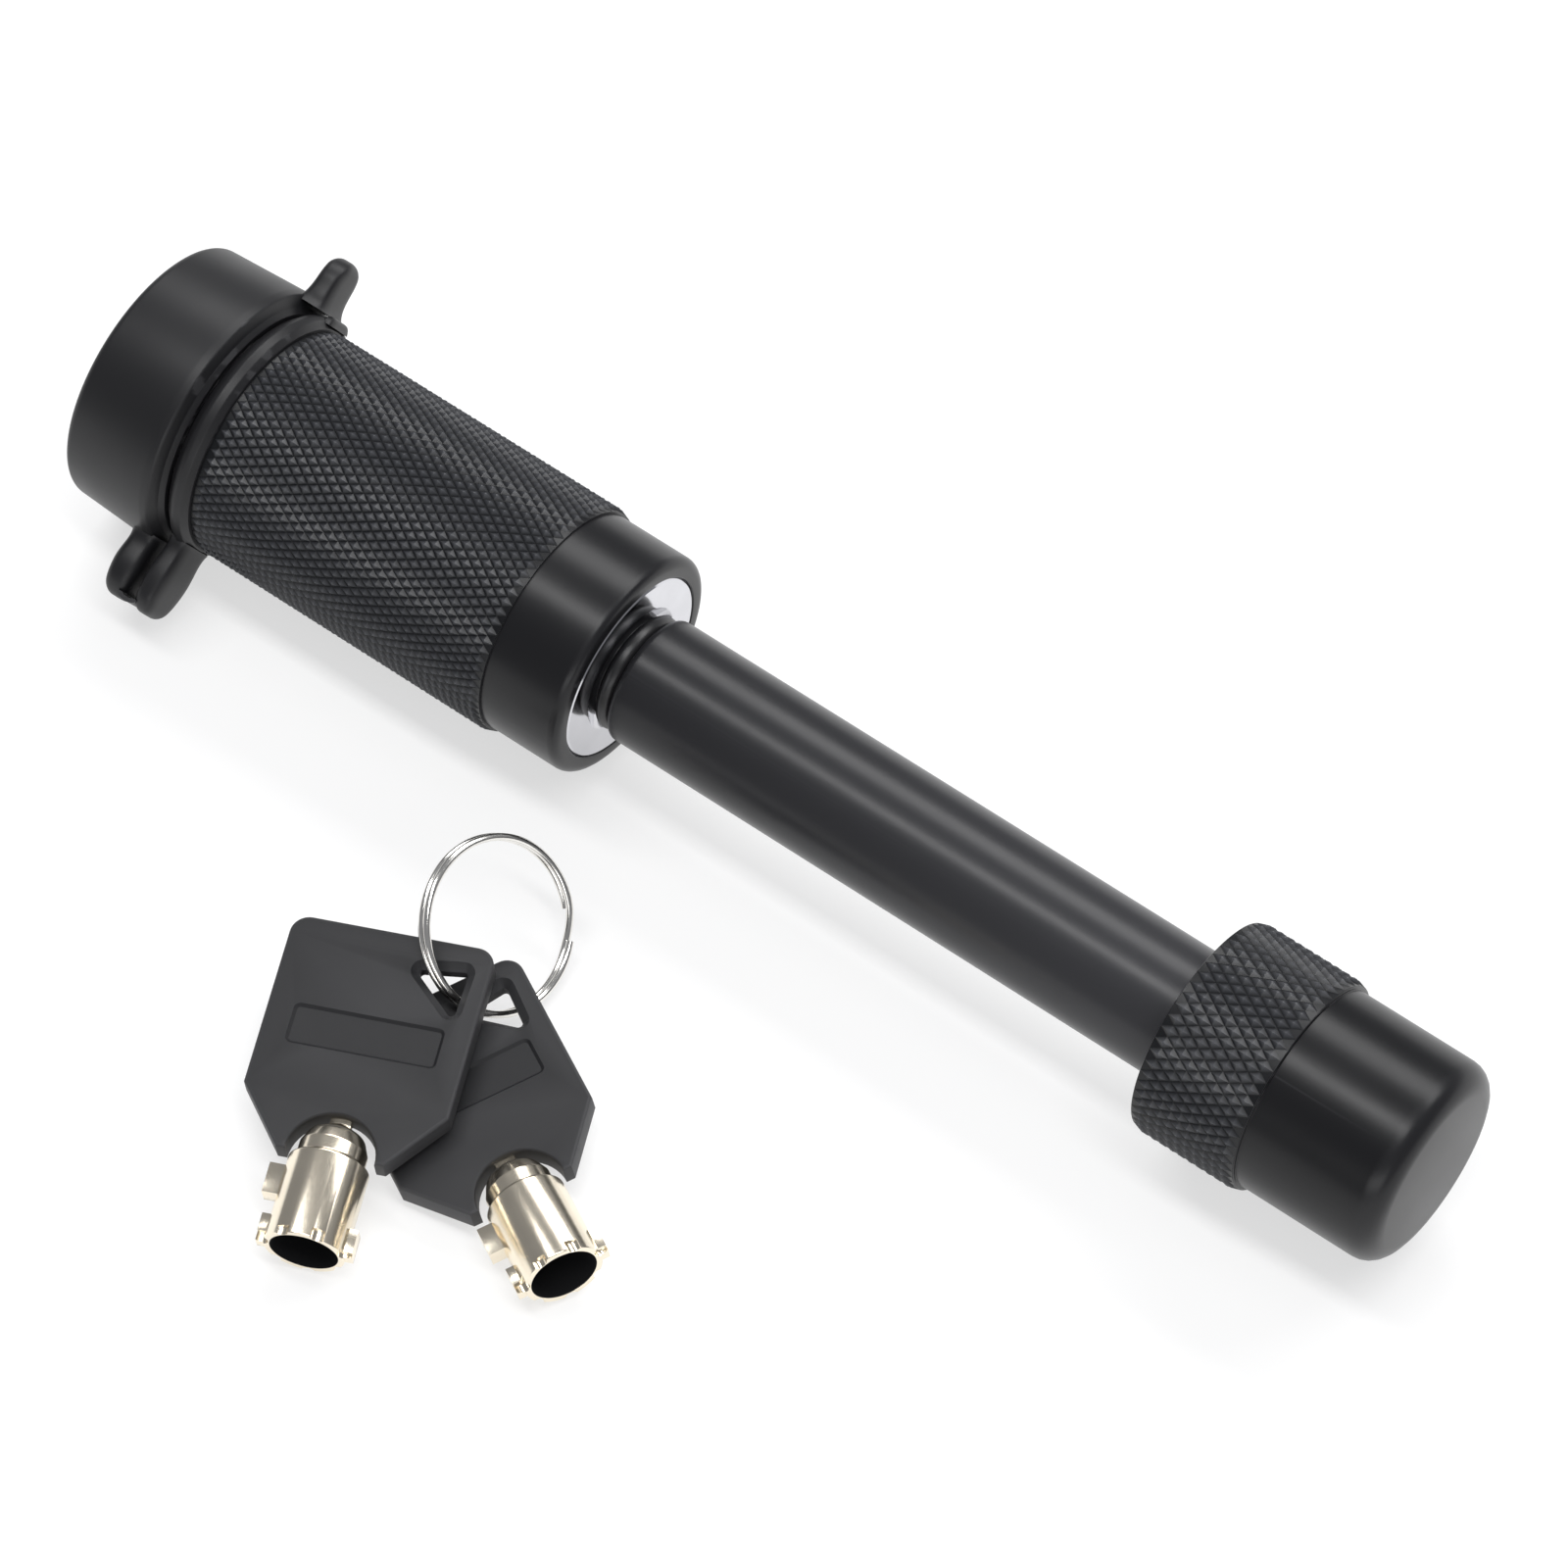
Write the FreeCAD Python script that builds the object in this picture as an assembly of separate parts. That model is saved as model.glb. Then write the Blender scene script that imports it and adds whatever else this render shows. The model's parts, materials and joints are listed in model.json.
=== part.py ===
import FreeCAD, Part
import math
import os
from FreeCAD import Placement, Rotation, Vector

# A hitch pin lock: a straight steel pin with a knurled knob at one end, and a knurled lock head that
# the pin's other end plugs into. A tubular key turns a cam inside the head, and the cam pushes three
# balls into a groove in the pin. A rubber dust cap on a strap covers the keyway, and two keys hang
# on a split ring beside the lock.
#
# Millimetres. The pin's axis is X and +Z is up. The origin is on that axis, half way between the
# lock head's face and the knob's shoulder. +X runs from the lock head to the knob. The solids stand
# as they are when the lock is open: key turned back, balls out of the groove, pin pushed home.

# ---- driving dimensions ----

# pin
PIN_R = 15.875 / 2  # the standard 5/8 inch hitch pin
SPAN = 80.0  # from the head's face to the knob's shoulder
FACE = -SPAN / 2
KNOB = SPAN / 2
SHOULDER_GAP = 2.2  # between the head's face and the start of the full shank
SHOULDER_ROUND = 1.0
NECK_R = 5.35
TAIL_R = 6.35
TAIL_LENGTH = 22.0  # behind the head's face
TAIL_CHAMFER = 1.0
SPIGOT_LENGTH = 24.0  # the pin's thinner end inside the knob
SPIGOT_R = 6.5
SPIGOT_CONE = 1.4  # length of the cone between the shank and the spigot
O_RING_SECTION_R = 1.0

# knob on the pin's end
KNOB_KNURL_R = 13.65
KNOB_KNURL_LENGTH = 14.0
KNOB_R = 12.75
KNOB_LENGTH = 32.0
KNOB_KNURL_CHAMFER = 0.5
KNOB_END_ROUND = 3.0

# lock barrel, from the face back
COLLAR_R = 14.25
COLLAR_LENGTH = 10.7
RIM_ROUND = 1.2
BARREL_KNURL_R = 15.0
KNURL_END = FACE - 53.0
SEAT_R = 13.4
SEAT_END = KNURL_END - 3.5
NOSE_R = 14.0
BARREL_END = FACE - 62.6
FRONT_BORE_R = 11.9
REAR_BORE_R = 9.55
BORE_STEP = FACE - 34.0

# face plate with its ball cage
PLATE_THICK = 3.0
PLATE_BEVEL = 0.3
SEAL_SEAT_R = 8.0  # mouth of the cone in the plate that the pin's seal closes against
SEAL_SEAT_DEPTH = 1.6
CAGE_R = 8.6
CAGE_BORE_R = 6.41
CAGE_END = FACE - 23.5
BALL_R = 2.0
BALL_COUNT = 3
BALL_PLANE = FACE - 14.0
BALL_OPEN_R = 8.42  # a ball's centre when the lock is open
BALL_TRAVEL = 1.26
KEY_TURN = math.radians(90.0)
GROOVE_CLEAR = 0.1

# cam
CAM_R = 11.8
CAM_CUP_BORE_R = 10.7
CAM_BACK = FACE - 33.8
CAM_FLOOR_THICK = 2.0
CAM_TRACK_BACK = FACE - 17.0
CAM_FRONT = FACE - 11.0
CAM_CLEAR = 0.05
CAM_OVERRUN = math.radians(10.0)

# key cylinder
SHELL_R = 9.5
SHELL_REAR = FACE - 62.2
SHELL_FRONT = FACE - 35.0
MOUTH_R = 4.85
POST_R = 3.85
POST_REAR = FACE - 62.0
POST_WAIST_R = 3.5
UNDERCUT_START = FACE - 59.7
UNDERCUT_R = 5.75
LUG_SLOT_WIDTH = 2.2
CHAMBER_START = FACE - 55.7
CHAMBER_R = 6.5
ROTOR_R = 6.45
ROTOR_REAR = FACE - 55.65
SHEAR = FACE - 48.0
SHEAR_GAP = 0.05
BLOCK_FRONT = FACE - 36.5
SPINDLE_R = 2.45
SPINDLE_BORE_R = 2.5
SPINDLE_SQUARE = 3.4
SPINDLE_END = FACE - 32.0
PIN_COUNT = 7
PIN_PITCH_R = 4.36
PIN_HOLE_R = 0.85
TUMBLER_R = 0.8
KEY_SEAT = FACE - 56.3  # where the key's tip stops
CUT_STEP = 0.3
KEY_CUT_BASE = 0.6
BITTING = (2, 0, 3, 1, 4, 2, 1)  # cut steps, once round the key
DRIVER_LENGTH = 3.5
SPRING_WIRE_R = 0.14
SPRING_COIL_R = 0.55
SPRING_SPAN = 6.3
SPRING_TURNS = 6
BLOCK_HOLE_DEPTH = 10.0

# small fixings
SEATED = 0.02  # gap all round a piece that is pressed or screwed in
RETAINER_X = FACE - 54.8
RETAINER_R = 1.25
SNAP_RING_X = FACE - 36.4
SNAP_RING_THICK = 0.8
SNAP_RING_R = 6.9
SNAP_RING_BORE_R = 5.6
SNAP_RING_GAP = 3.0
CAM_SCREW_R = 1.0
CAM_SCREW_DEPTH = 6.0
CAM_SCREW_HEAD_R = 3.0
CAM_SCREW_HEAD_THICK = 1.8
CAM_WASHER_R = 3.8
CAM_WASHER_THICK = 0.5

# rubber dust cap, its ring and its strap
CAP_REAR = FACE - 70.4
CAP_REAR_R = 16.6
CAP_CORNER = 1.0
SKIRT_X = FACE - 57.6
SKIRT_R = 17.25
MOUTH_X = FACE - 56.4
MOUTH_LIP_R = 15.1
CAP_BORE_R = 14.4
CAP_FLOOR = FACE - 67.2
RING_REAR = FACE - 56.1
RING_FRONT = KNURL_END - 0.05
RING_BORE_R = 13.45
BEAD_R = 16.0
STRAP_ANGLE = 27.7  # the strap hangs this far below level, on the -Y side, in degrees
STRAP_WIDTH = 9.0
STRAP_TIP_R = 24.9
CAP_LEAF_BACK = FACE - 60.6
CAP_LEAF_FRONT = FACE - 57.2
RING_LEAF_FRONT = FACE - 53.3
HINGE_X = FACE - 56.7
HINGE_R = 24.0
WEB_R = 0.5
TAB_BACK = FACE - 58.3
TAB_FRONT = FACE - 54.9
TAB_TIP_R = 22.8
TAB_WIDTH = 10.0
TAB_CLEAR_R = 16.5  # underside of the tab where it reaches over the ring

# keys, drawn with the tube along -Y, the width along X and the thickness along Z
KEY_HEAD_HALF_WIDTH = 12.0
KEY_HEAD_TOP = 20.6
KEY_HEAD_SHOULDER = -1.1
KEY_HEAD_FOOT = -8.3
KEY_FOOT_HALF_WIDTH = 6.3
KEY_HEAD_THICK = 3.0
KEY_HEAD_ROUND = 2.2
KEY_HEAD_BEVEL = 0.4
KEY_NOTCH_R = 5.2
RING_HOLE = ((3.2, 16.8), (9.4, 17.6), (9.1, 11.2))
RING_HOLE_ROUND = 0.5
RING_HOLE_BEVEL = 0.9
LABEL_HALF_WIDTH = 8.5
LABEL_TOP = 9.3
LABEL_BOTTOM = 4.9
LABEL_DEPTH = 0.25
LABEL_ROUND = 0.6
TUBE_R = 4.72
TUBE_BORE_R = 3.95
TUBE_TIP = -19.8
TUBE_BORE_DEPTH = 8.5
TUBE_SHOULDER = -9.0
NECK_TUBE_R = 4.0
DOME_CENTRE = -7.7
TANG_HALF_WIDTH = 3.0
TANG_THICK = 1.2
TANG_TOP = 6.0
KEY_CUT_R = 0.9
TIP_LUG = (5.6, 2.0, -19.6, -16.4)  # outer radius, width, and the stretch of tube it stands on
HEAD_LUG = (6.4, 2.2, -13.9, -10.2)

# where the keys and their ring lie, on the surface that the lock's dust cap touches
GROUND = -SKIRT_R
KEY_1_PLACE = (-34.17, -59.76, 7.07)
KEY_1_TURN = (113.0, 5.4, 3.0)  # heading of the head, tilt up, roll, in degrees
KEY_2_PLACE = (-18.69, -53.43, 4.38)
KEY_2_TURN = (151.4, -3.1, 8.3)
SPLIT_RING_R = 10.1
SPLIT_RING_WIRE_R = 0.46
SPLIT_RING_PLACE = (-34.03, -32.92, 9.25)
SPLIT_RING_NORMAL = (0.75, 0.013, 0.662)
COIL_SPACING = 0.9

AXIS = Vector(1, 0, 0)
OUT = "parts"


# ---- helpers ----

def rod(start, end, radius):
    """A cylinder on the pin's axis."""
    return Part.makeCylinder(radius, end - start, Vector(start, 0, 0), AXIS)


def sleeve(start, end, outer, inner):
    """A tube on the pin's axis."""
    return rod(start, end, outer).cut(rod(start - 1, end + 1, inner))


def turned(profile):
    """A solid turned about the pin's axis from (x, radius) corners."""
    corners = [Vector(x, 0, radius) for x, radius in profile]
    wire = Part.makePolygon(corners + corners[:1])
    return Part.Face(wire).revolve(Vector(), AXIS, 360)


def about_axis(shape, degrees):
    """A copy turned about the pin's axis. Angle 0 is +Z and positive angles turn towards -Y."""
    copy = shape.copy()
    copy.rotate(Vector(), AXIS, degrees)
    return copy


def rims(shape, x, radius):
    """The circular edges of a turned solid at one place along the axis and one radius."""
    found = []
    for edge in shape.Edges:
        curve = edge.Curve
        if not isinstance(curve, Part.Circle):
            continue
        if abs(curve.Radius - radius) < 1e-4 and abs(curve.Center.x - x) < 1e-4:
            found.append(edge)
    return found


def radial_hole(x, radius, inner, outer):
    """A cylinder standing on the axis along +Z, from one radius to another."""
    return Part.makeCylinder(radius, outer - inner, Vector(x, 0, inner), Vector(0, 0, 1))


def slab(back, front, inner, outer, width):
    """A block that stands out along +Z from the axis: x, radius and width."""
    return Part.makeBox(front - back, width, outer - inner, Vector(back, -width / 2, inner))


def rounded_polygon(corners, radius):
    """A flat face at z = 0 with the same round at each corner."""
    edges = []
    ends = []
    count = len(corners)
    for i in range(count):
        corner = Vector(*corners[i])
        to_last = (Vector(*corners[i - 1]) - corner).normalize()
        to_next = (Vector(*corners[(i + 1) % count]) - corner).normalize()
        half = to_last.getAngle(to_next) / 2
        reach = radius / math.tan(half)
        middle = corner + (to_last + to_next).normalize() * (radius / math.sin(half) - radius)
        ends.append((corner + to_last * reach, middle, corner + to_next * reach))
    for i in range(count):
        start, middle, end = ends[i]
        edges.append(Part.Arc(start, middle, end).toShape())
        edges.append(Part.LineSegment(end, ends[(i + 1) % count][0]).toShape())
    return Part.Face(Part.Wire(edges))


def save(name, shape):
    """Write one sub-part and say what it is."""
    solids = shape.Solids
    shape = solids[0] if len(solids) == 1 else Part.makeCompound(solids)
    shape.exportStep(os.path.join(OUT, name + ".step"))
    print(name, len(solids), "solid(s),", round(shape.Volume, 2), "mm3, valid", shape.isValid())


# ---- lock head ----

def lock_barrel():
    """The knurled body, drawn as plain cylinders at the knurl's crest."""
    body = turned([
        (FACE, FRONT_BORE_R),
        (FACE, COLLAR_R),
        (FACE - COLLAR_LENGTH, COLLAR_R),
        (FACE - COLLAR_LENGTH, BARREL_KNURL_R),
        (KNURL_END, BARREL_KNURL_R),
        (KNURL_END, SEAT_R),
        (SEAT_END, SEAT_R),
        (SEAT_END, NOSE_R),
        (BARREL_END, NOSE_R),
        (BARREL_END, REAR_BORE_R),
        (BORE_STEP, REAR_BORE_R),
        (BORE_STEP, FRONT_BORE_R),
    ])
    body = body.makeFillet(RIM_ROUND, rims(body, FACE, COLLAR_R))
    body = body.makeChamfer(0.5, rims(body, BARREL_END, NOSE_R))
    return body.cut(radial_hole(RETAINER_X, RETAINER_R + SEATED, REAR_BORE_R - 1, NOSE_R))


def face_plate():
    """The polished plate that closes the head's face, in one piece with the ball cage behind it."""
    plate = turned([
        (FACE - SEAL_SEAT_DEPTH, CAGE_BORE_R),
        (FACE, SEAL_SEAT_R),
        (FACE, FRONT_BORE_R - SEATED - PLATE_BEVEL),
        (FACE - PLATE_BEVEL, FRONT_BORE_R - SEATED),
        (FACE - PLATE_THICK, FRONT_BORE_R - SEATED),
        (FACE - PLATE_THICK, CAGE_R),
        (CAGE_END, CAGE_R),
        (CAGE_END, CAGE_BORE_R),
    ])
    window = radial_hole(BALL_PLANE, BALL_R + 0.05, CAGE_BORE_R - 2, CAGE_R + 1)
    for i in range(BALL_COUNT):
        plate = plate.cut(about_axis(window, 360 / BALL_COUNT * i))
    return plate


def cylinder_shell():
    """The key cylinder's fixed shell, with the round keyway's outer wall at its rear end."""
    shell = rod(SHELL_REAR, SHELL_FRONT, SHELL_R)
    shell = shell.cut(rod(SHELL_REAR - 1, UNDERCUT_START + 0.1, MOUTH_R))
    shell = shell.cut(rod(UNDERCUT_START, CHAMBER_START + 0.1, UNDERCUT_R))
    shell = shell.cut(rod(CHAMBER_START, SHELL_FRONT + 1, CHAMBER_R))
    slots = slab(SHELL_REAR - 1, UNDERCUT_START + 0.1, -UNDERCUT_R, UNDERCUT_R, LUG_SLOT_WIDTH)
    shell = shell.cut(slots)
    groove_end = SNAP_RING_X + SNAP_RING_THICK + SEATED
    shell = shell.cut(rod(SNAP_RING_X - SEATED, groove_end, SNAP_RING_R + SEATED))
    return shell.cut(radial_hole(RETAINER_X, RETAINER_R + SEATED, CHAMBER_R + 0.5, SHELL_R + 1))


def pin_places():
    """The angles of the tumbler holes, once round the spindle."""
    return [360 / PIN_COUNT * (i + 0.5) for i in range(PIN_COUNT)]


def off_axis_rod(start, end, radius, degrees):
    """A cylinder along X at the tumblers' pitch radius."""
    piece = Part.makeCylinder(radius, end - start, Vector(start, 0, PIN_PITCH_R), AXIS)
    return about_axis(piece, degrees)


def pin_block():
    """The fixed block that holds the driver pins and their springs."""
    start = SHEAR + SHEAR_GAP
    block = sleeve(start, BLOCK_FRONT, CHAMBER_R - SEATED, SPINDLE_BORE_R)
    for degrees in pin_places():
        block = block.cut(off_axis_rod(start - 1, start + BLOCK_HOLE_DEPTH, PIN_HOLE_R, degrees))
    return block


def driver_pins():
    """Seven equal pins that stand on the block's side of the shear line."""
    start = SHEAR + SHEAR_GAP
    return Part.makeCompound([
        off_axis_rod(start, start + DRIVER_LENGTH, TUMBLER_R, degrees) for degrees in pin_places()
    ])


def pin_springs():
    """A coil spring behind each driver pin."""
    start = SHEAR + SHEAR_GAP + DRIVER_LENGTH + SPRING_WIRE_R + SEATED
    helix = Part.makeHelix(SPRING_SPAN / SPRING_TURNS, SPRING_SPAN - 2 * SPRING_WIRE_R, SPRING_COIL_R)
    section = Part.Wire(Part.makeCircle(SPRING_WIRE_R, Vector(SPRING_COIL_R, 0, 0), Vector(0, 1, 0)))
    coil = Part.Wire(helix).makePipeShell([section], True, True)
    coil.rotate(Vector(), Vector(0, 1, 0), 90)
    coil.translate(Vector(start, 0, PIN_PITCH_R))
    return Part.makeCompound([about_axis(coil, degrees) for degrees in pin_places()])


def block_snap_ring():
    """The open ring that keeps the pin block in its shell."""
    ring = sleeve(SNAP_RING_X, SNAP_RING_X + SNAP_RING_THICK, SNAP_RING_R, SNAP_RING_BORE_R)
    gap = slab(SNAP_RING_X - 1, SNAP_RING_X + 2, 0, SNAP_RING_R + 1, SNAP_RING_GAP)
    return ring.cut(gap)


def retaining_pin():
    """The cross pin that keeps the key cylinder in the barrel, under the rubber ring."""
    return radial_hole(RETAINER_X, RETAINER_R, CHAMBER_R + 0.55, SEAT_R - 0.1)


# ---- parts that turn with the key ----

def plug_rotor():
    """The turning plug: centre post, tumbler holes, and the spindle that drives the cam."""
    rotor = rod(ROTOR_REAR, SHEAR, ROTOR_R)
    rotor = rotor.fuse(rod(UNDERCUT_START - 0.1, ROTOR_REAR + 0.1, POST_WAIST_R))
    rotor = rotor.fuse(rod(POST_REAR, UNDERCUT_START, POST_R))
    rotor = rotor.fuse(rod(SHEAR - 0.1, CAM_BACK - SEATED, SPINDLE_R))
    side = SPINDLE_SQUARE
    square = slab(CAM_BACK - 0.1, SPINDLE_END, -side / 2, side / 2, side)
    rotor = rotor.fuse(square).removeSplitter()
    for degrees in pin_places():
        rotor = rotor.cut(off_axis_rod(ROTOR_REAR - 1, SHEAR + 1, PIN_HOLE_R, degrees))
    screw_hole = rod(SPINDLE_END - CAM_SCREW_DEPTH, SPINDLE_END + 1, CAM_SCREW_R + SEATED)
    drive_slot = slab(POST_REAR - 1, POST_REAR + 1.0, -1.8, 1.8, 1.0)
    return rotor.cut(screw_hole).cut(drive_slot)


def key_pins():
    """Seven pins of the lengths that this lock's key asks for, lined up at the shear line."""
    pins = []
    for degrees, cut in zip(pin_places(), BITTING):
        tip = KEY_SEAT - KEY_CUT_BASE - CUT_STEP * cut
        pins.append(off_axis_rod(tip, SHEAR, TUMBLER_R, degrees))
    return Part.makeCompound(pins)


def cam_track():
    """The prism cut from the cam: for each ball, a spiral that closes in evenly over the key's turn."""
    per_radian = BALL_TRAVEL / KEY_TURN
    start_r = BALL_OPEN_R + BALL_R + CAM_CLEAR
    sweep = KEY_TURN + 2 * CAM_OVERRUN
    points_per_lobe = 9
    lobes = []
    for lobe in range(BALL_COUNT):
        points = []
        for i in range(points_per_lobe):
            turn = -CAM_OVERRUN + sweep * i / (points_per_lobe - 1)
            radius = start_r - per_radian * turn
            angle = 2 * math.pi * lobe / BALL_COUNT - turn
            y = -radius * math.sin(angle)
            z = radius * math.cos(angle)
            points.append(Vector(CAM_TRACK_BACK, y, z))
        lobes.append(points)
    edges = []
    for i in range(BALL_COUNT):
        spiral = Part.BSplineCurve()
        spiral.interpolate(lobes[i])
        edges.append(spiral.toShape())
        following = lobes[i - 1][0]
        edges.append(Part.LineSegment(lobes[i][-1], following).toShape())
    face = Part.Face(Part.Wire(Part.__sortEdges__(edges)))
    return face.extrude(Vector(CAM_FRONT - CAM_TRACK_BACK + 1, 0, 0))


def cam_cup():
    """The cup on the spindle whose inner track pushes the balls in."""
    cup = rod(CAM_BACK, CAM_FRONT, CAM_R)
    cup = cup.cut(rod(CAM_BACK + CAM_FLOOR_THICK, CAM_TRACK_BACK, CAM_CUP_BORE_R))
    cup = cup.cut(cam_track())
    side = SPINDLE_SQUARE + 2 * SEATED
    return cup.cut(slab(CAM_BACK - 1, CAM_BACK + CAM_FLOOR_THICK + 1, -side / 2, side / 2, side))


def cam_washer():
    """The washer under the cam screw's head."""
    start = CAM_BACK + CAM_FLOOR_THICK + SEATED
    return sleeve(start, start + CAM_WASHER_THICK, CAM_WASHER_R, CAM_SCREW_R + 0.1)


def cam_screw():
    """The screw that holds the cam on the spindle's squared end."""
    head = CAM_BACK + CAM_FLOOR_THICK + CAM_WASHER_THICK + 2 * SEATED
    screw = rod(head, head + CAM_SCREW_HEAD_THICK, CAM_SCREW_HEAD_R)
    screw = screw.fuse(rod(SPINDLE_END - CAM_SCREW_DEPTH + 0.3, head + 0.1, CAM_SCREW_R))
    slot = slab(head + CAM_SCREW_HEAD_THICK - 0.7, head + 3, -4, 4, 0.8)
    return screw.removeSplitter().cut(slot)


def lock_ball(number):
    """One locking ball in its window, drawn out of the pin's groove."""
    ball = Part.makeSphere(BALL_R, Vector(BALL_PLANE, 0, BALL_OPEN_R))
    return about_axis(ball, 360 / BALL_COUNT * number)


# ---- pin and knob ----

def pin_shaft():
    """The pin: grooved tail, narrow neck for the seal, full shank, and a spigot inside the knob."""
    tail = FACE - TAIL_LENGTH
    shoulder = FACE + SHOULDER_GAP
    end = KNOB + SPIGOT_LENGTH
    shaft = turned([
        (tail, 0),
        (tail, TAIL_R - TAIL_CHAMFER),
        (tail + TAIL_CHAMFER, TAIL_R),
        (FACE, TAIL_R),
        (FACE, NECK_R),
        (shoulder, NECK_R),
        (shoulder, PIN_R),
        (KNOB, PIN_R),
        (KNOB + SPIGOT_CONE, SPIGOT_R),
        (end - 1, SPIGOT_R),
        (end, SPIGOT_R - 1),
        (end, 0),
    ])
    shaft = shaft.makeFillet(SHOULDER_ROUND, rims(shaft, shoulder, PIN_R))
    locked_r = BALL_OPEN_R - BALL_TRAVEL
    groove = Part.makeTorus(locked_r, BALL_R + GROOVE_CLEAR, Vector(BALL_PLANE, 0, 0), AXIS)
    return shaft.cut(groove)


def end_knob():
    """The knob pressed on the pin's far end, drawn plain at its knurl's crest."""
    knurl_end = KNOB + KNOB_KNURL_LENGTH
    end = KNOB + KNOB_LENGTH
    knob = turned([
        (KNOB + SPIGOT_CONE, SPIGOT_R + SEATED),
        (KNOB, PIN_R + SEATED),
        (KNOB, KNOB_KNURL_R - KNOB_KNURL_CHAMFER),
        (KNOB + KNOB_KNURL_CHAMFER, KNOB_KNURL_R),
        (knurl_end - KNOB_KNURL_CHAMFER, KNOB_KNURL_R),
        (knurl_end, KNOB_KNURL_R - KNOB_KNURL_CHAMFER),
        (knurl_end, KNOB_R),
        (end, KNOB_R),
        (end, 0),
        (KNOB + SPIGOT_LENGTH + 0.1, 0),
        (KNOB + SPIGOT_LENGTH + 0.1, SPIGOT_R + SEATED),
    ])
    return knob.makeFillet(KNOB_END_ROUND, rims(knob, end, KNOB_R))


def pin_o_ring():
    """The rubber seal on the pin's neck, between the head's face and the shoulder."""
    centre = Vector(FACE + SHOULDER_GAP / 2, 0, 0)
    return Part.makeTorus(NECK_R + 0.05 + O_RING_SECTION_R, O_RING_SECTION_R, centre, AXIS)


# ---- rubber dust cap ----

def leaf(back, front, root, tip, width):
    """A flat rubber tongue along +Z with a round end, standing out from the axis."""
    half = (front - back) / 2
    plate = slab(back, front, root, tip - half, width)
    end = Part.makeCylinder(half, width, Vector(back + half, -width / 2, tip - half), Vector(0, 1, 0))
    return plate.fuse(end).removeSplitter()


def cap_ring():
    """The rubber ring in its seat on the barrel, with the strap's fixed leaf and the fold's web."""
    bead_x = (RING_REAR + RING_FRONT) / 2
    ring = turned([
        (RING_REAR, RING_BORE_R),
        (RING_REAR, MOUTH_LIP_R - 0.2),
        (RING_REAR + 0.9, BEAD_R - 0.25),
        (bead_x, BEAD_R),
        (RING_FRONT - 0.7, BEAD_R - 0.3),
        (RING_FRONT, BARREL_KNURL_R),
        (RING_FRONT, RING_BORE_R),
    ])
    tongue = leaf(RING_REAR, RING_LEAF_FRONT, RING_BORE_R + 0.5, STRAP_TIP_R, STRAP_WIDTH)
    web = Part.makeCylinder(
        WEB_R, STRAP_WIDTH, Vector(HINGE_X, -STRAP_WIDTH / 2, HINGE_R), Vector(0, 1, 0))
    link = slab(HINGE_X, RING_REAR + 1.0, HINGE_R - WEB_R, HINGE_R + WEB_R / 2, STRAP_WIDTH)
    strap = tongue.fuse([web, link])
    return ring.fuse(about_axis(strap, 90 + STRAP_ANGLE)).removeSplitter()


def dust_cap():
    """The rubber cap over the barrel's nose, with its pull tab and the strap's moving leaf."""
    skirt_step = (SKIRT_X + MOUTH_X) / 2
    cap = turned([
        (CAP_REAR, 0),
        (CAP_REAR, CAP_REAR_R),
        (SKIRT_X, SKIRT_R),
        (skirt_step, MOUTH_LIP_R + 0.6),
        (MOUTH_X, MOUTH_LIP_R),
        (MOUTH_X, CAP_BORE_R),
        (CAP_FLOOR, CAP_BORE_R),
        (CAP_FLOOR, 0),
    ])
    cap = cap.makeFillet(CAP_CORNER, rims(cap, CAP_REAR, CAP_REAR_R))
    moving_leaf = leaf(CAP_LEAF_BACK, CAP_LEAF_FRONT, CAP_BORE_R + 0.8, STRAP_TIP_R, STRAP_WIDTH)
    tab = leaf(TAB_BACK, TAB_FRONT, TAB_CLEAR_R, TAB_TIP_R, TAB_WIDTH)
    root = slab(TAB_BACK, MOUTH_X, CAP_BORE_R + 0.5, TAB_CLEAR_R + 0.5, TAB_WIDTH)
    cap = cap.fuse([
        about_axis(moving_leaf, 90 + STRAP_ANGLE),
        about_axis(tab.fuse(root), STRAP_ANGLE - 90),
    ])
    return cap.removeSplitter()


# ---- keys on their split ring ----

def placed(shape, place, turn):
    """A key moved from its own drawing to where it lies: turned, tilted and rolled, then set down."""
    heading, tilt, roll = turn
    rotation = Rotation(Vector(0, 0, 1), heading - 90)
    rotation = rotation.multiply(Rotation(Vector(1, 0, 0), tilt))
    rotation = rotation.multiply(Rotation(Vector(0, 1, 0), -roll))
    copy = shape.copy()
    copy.Placement = Placement(Vector(place[0], place[1], GROUND + place[2]), rotation)
    return copy


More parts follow.
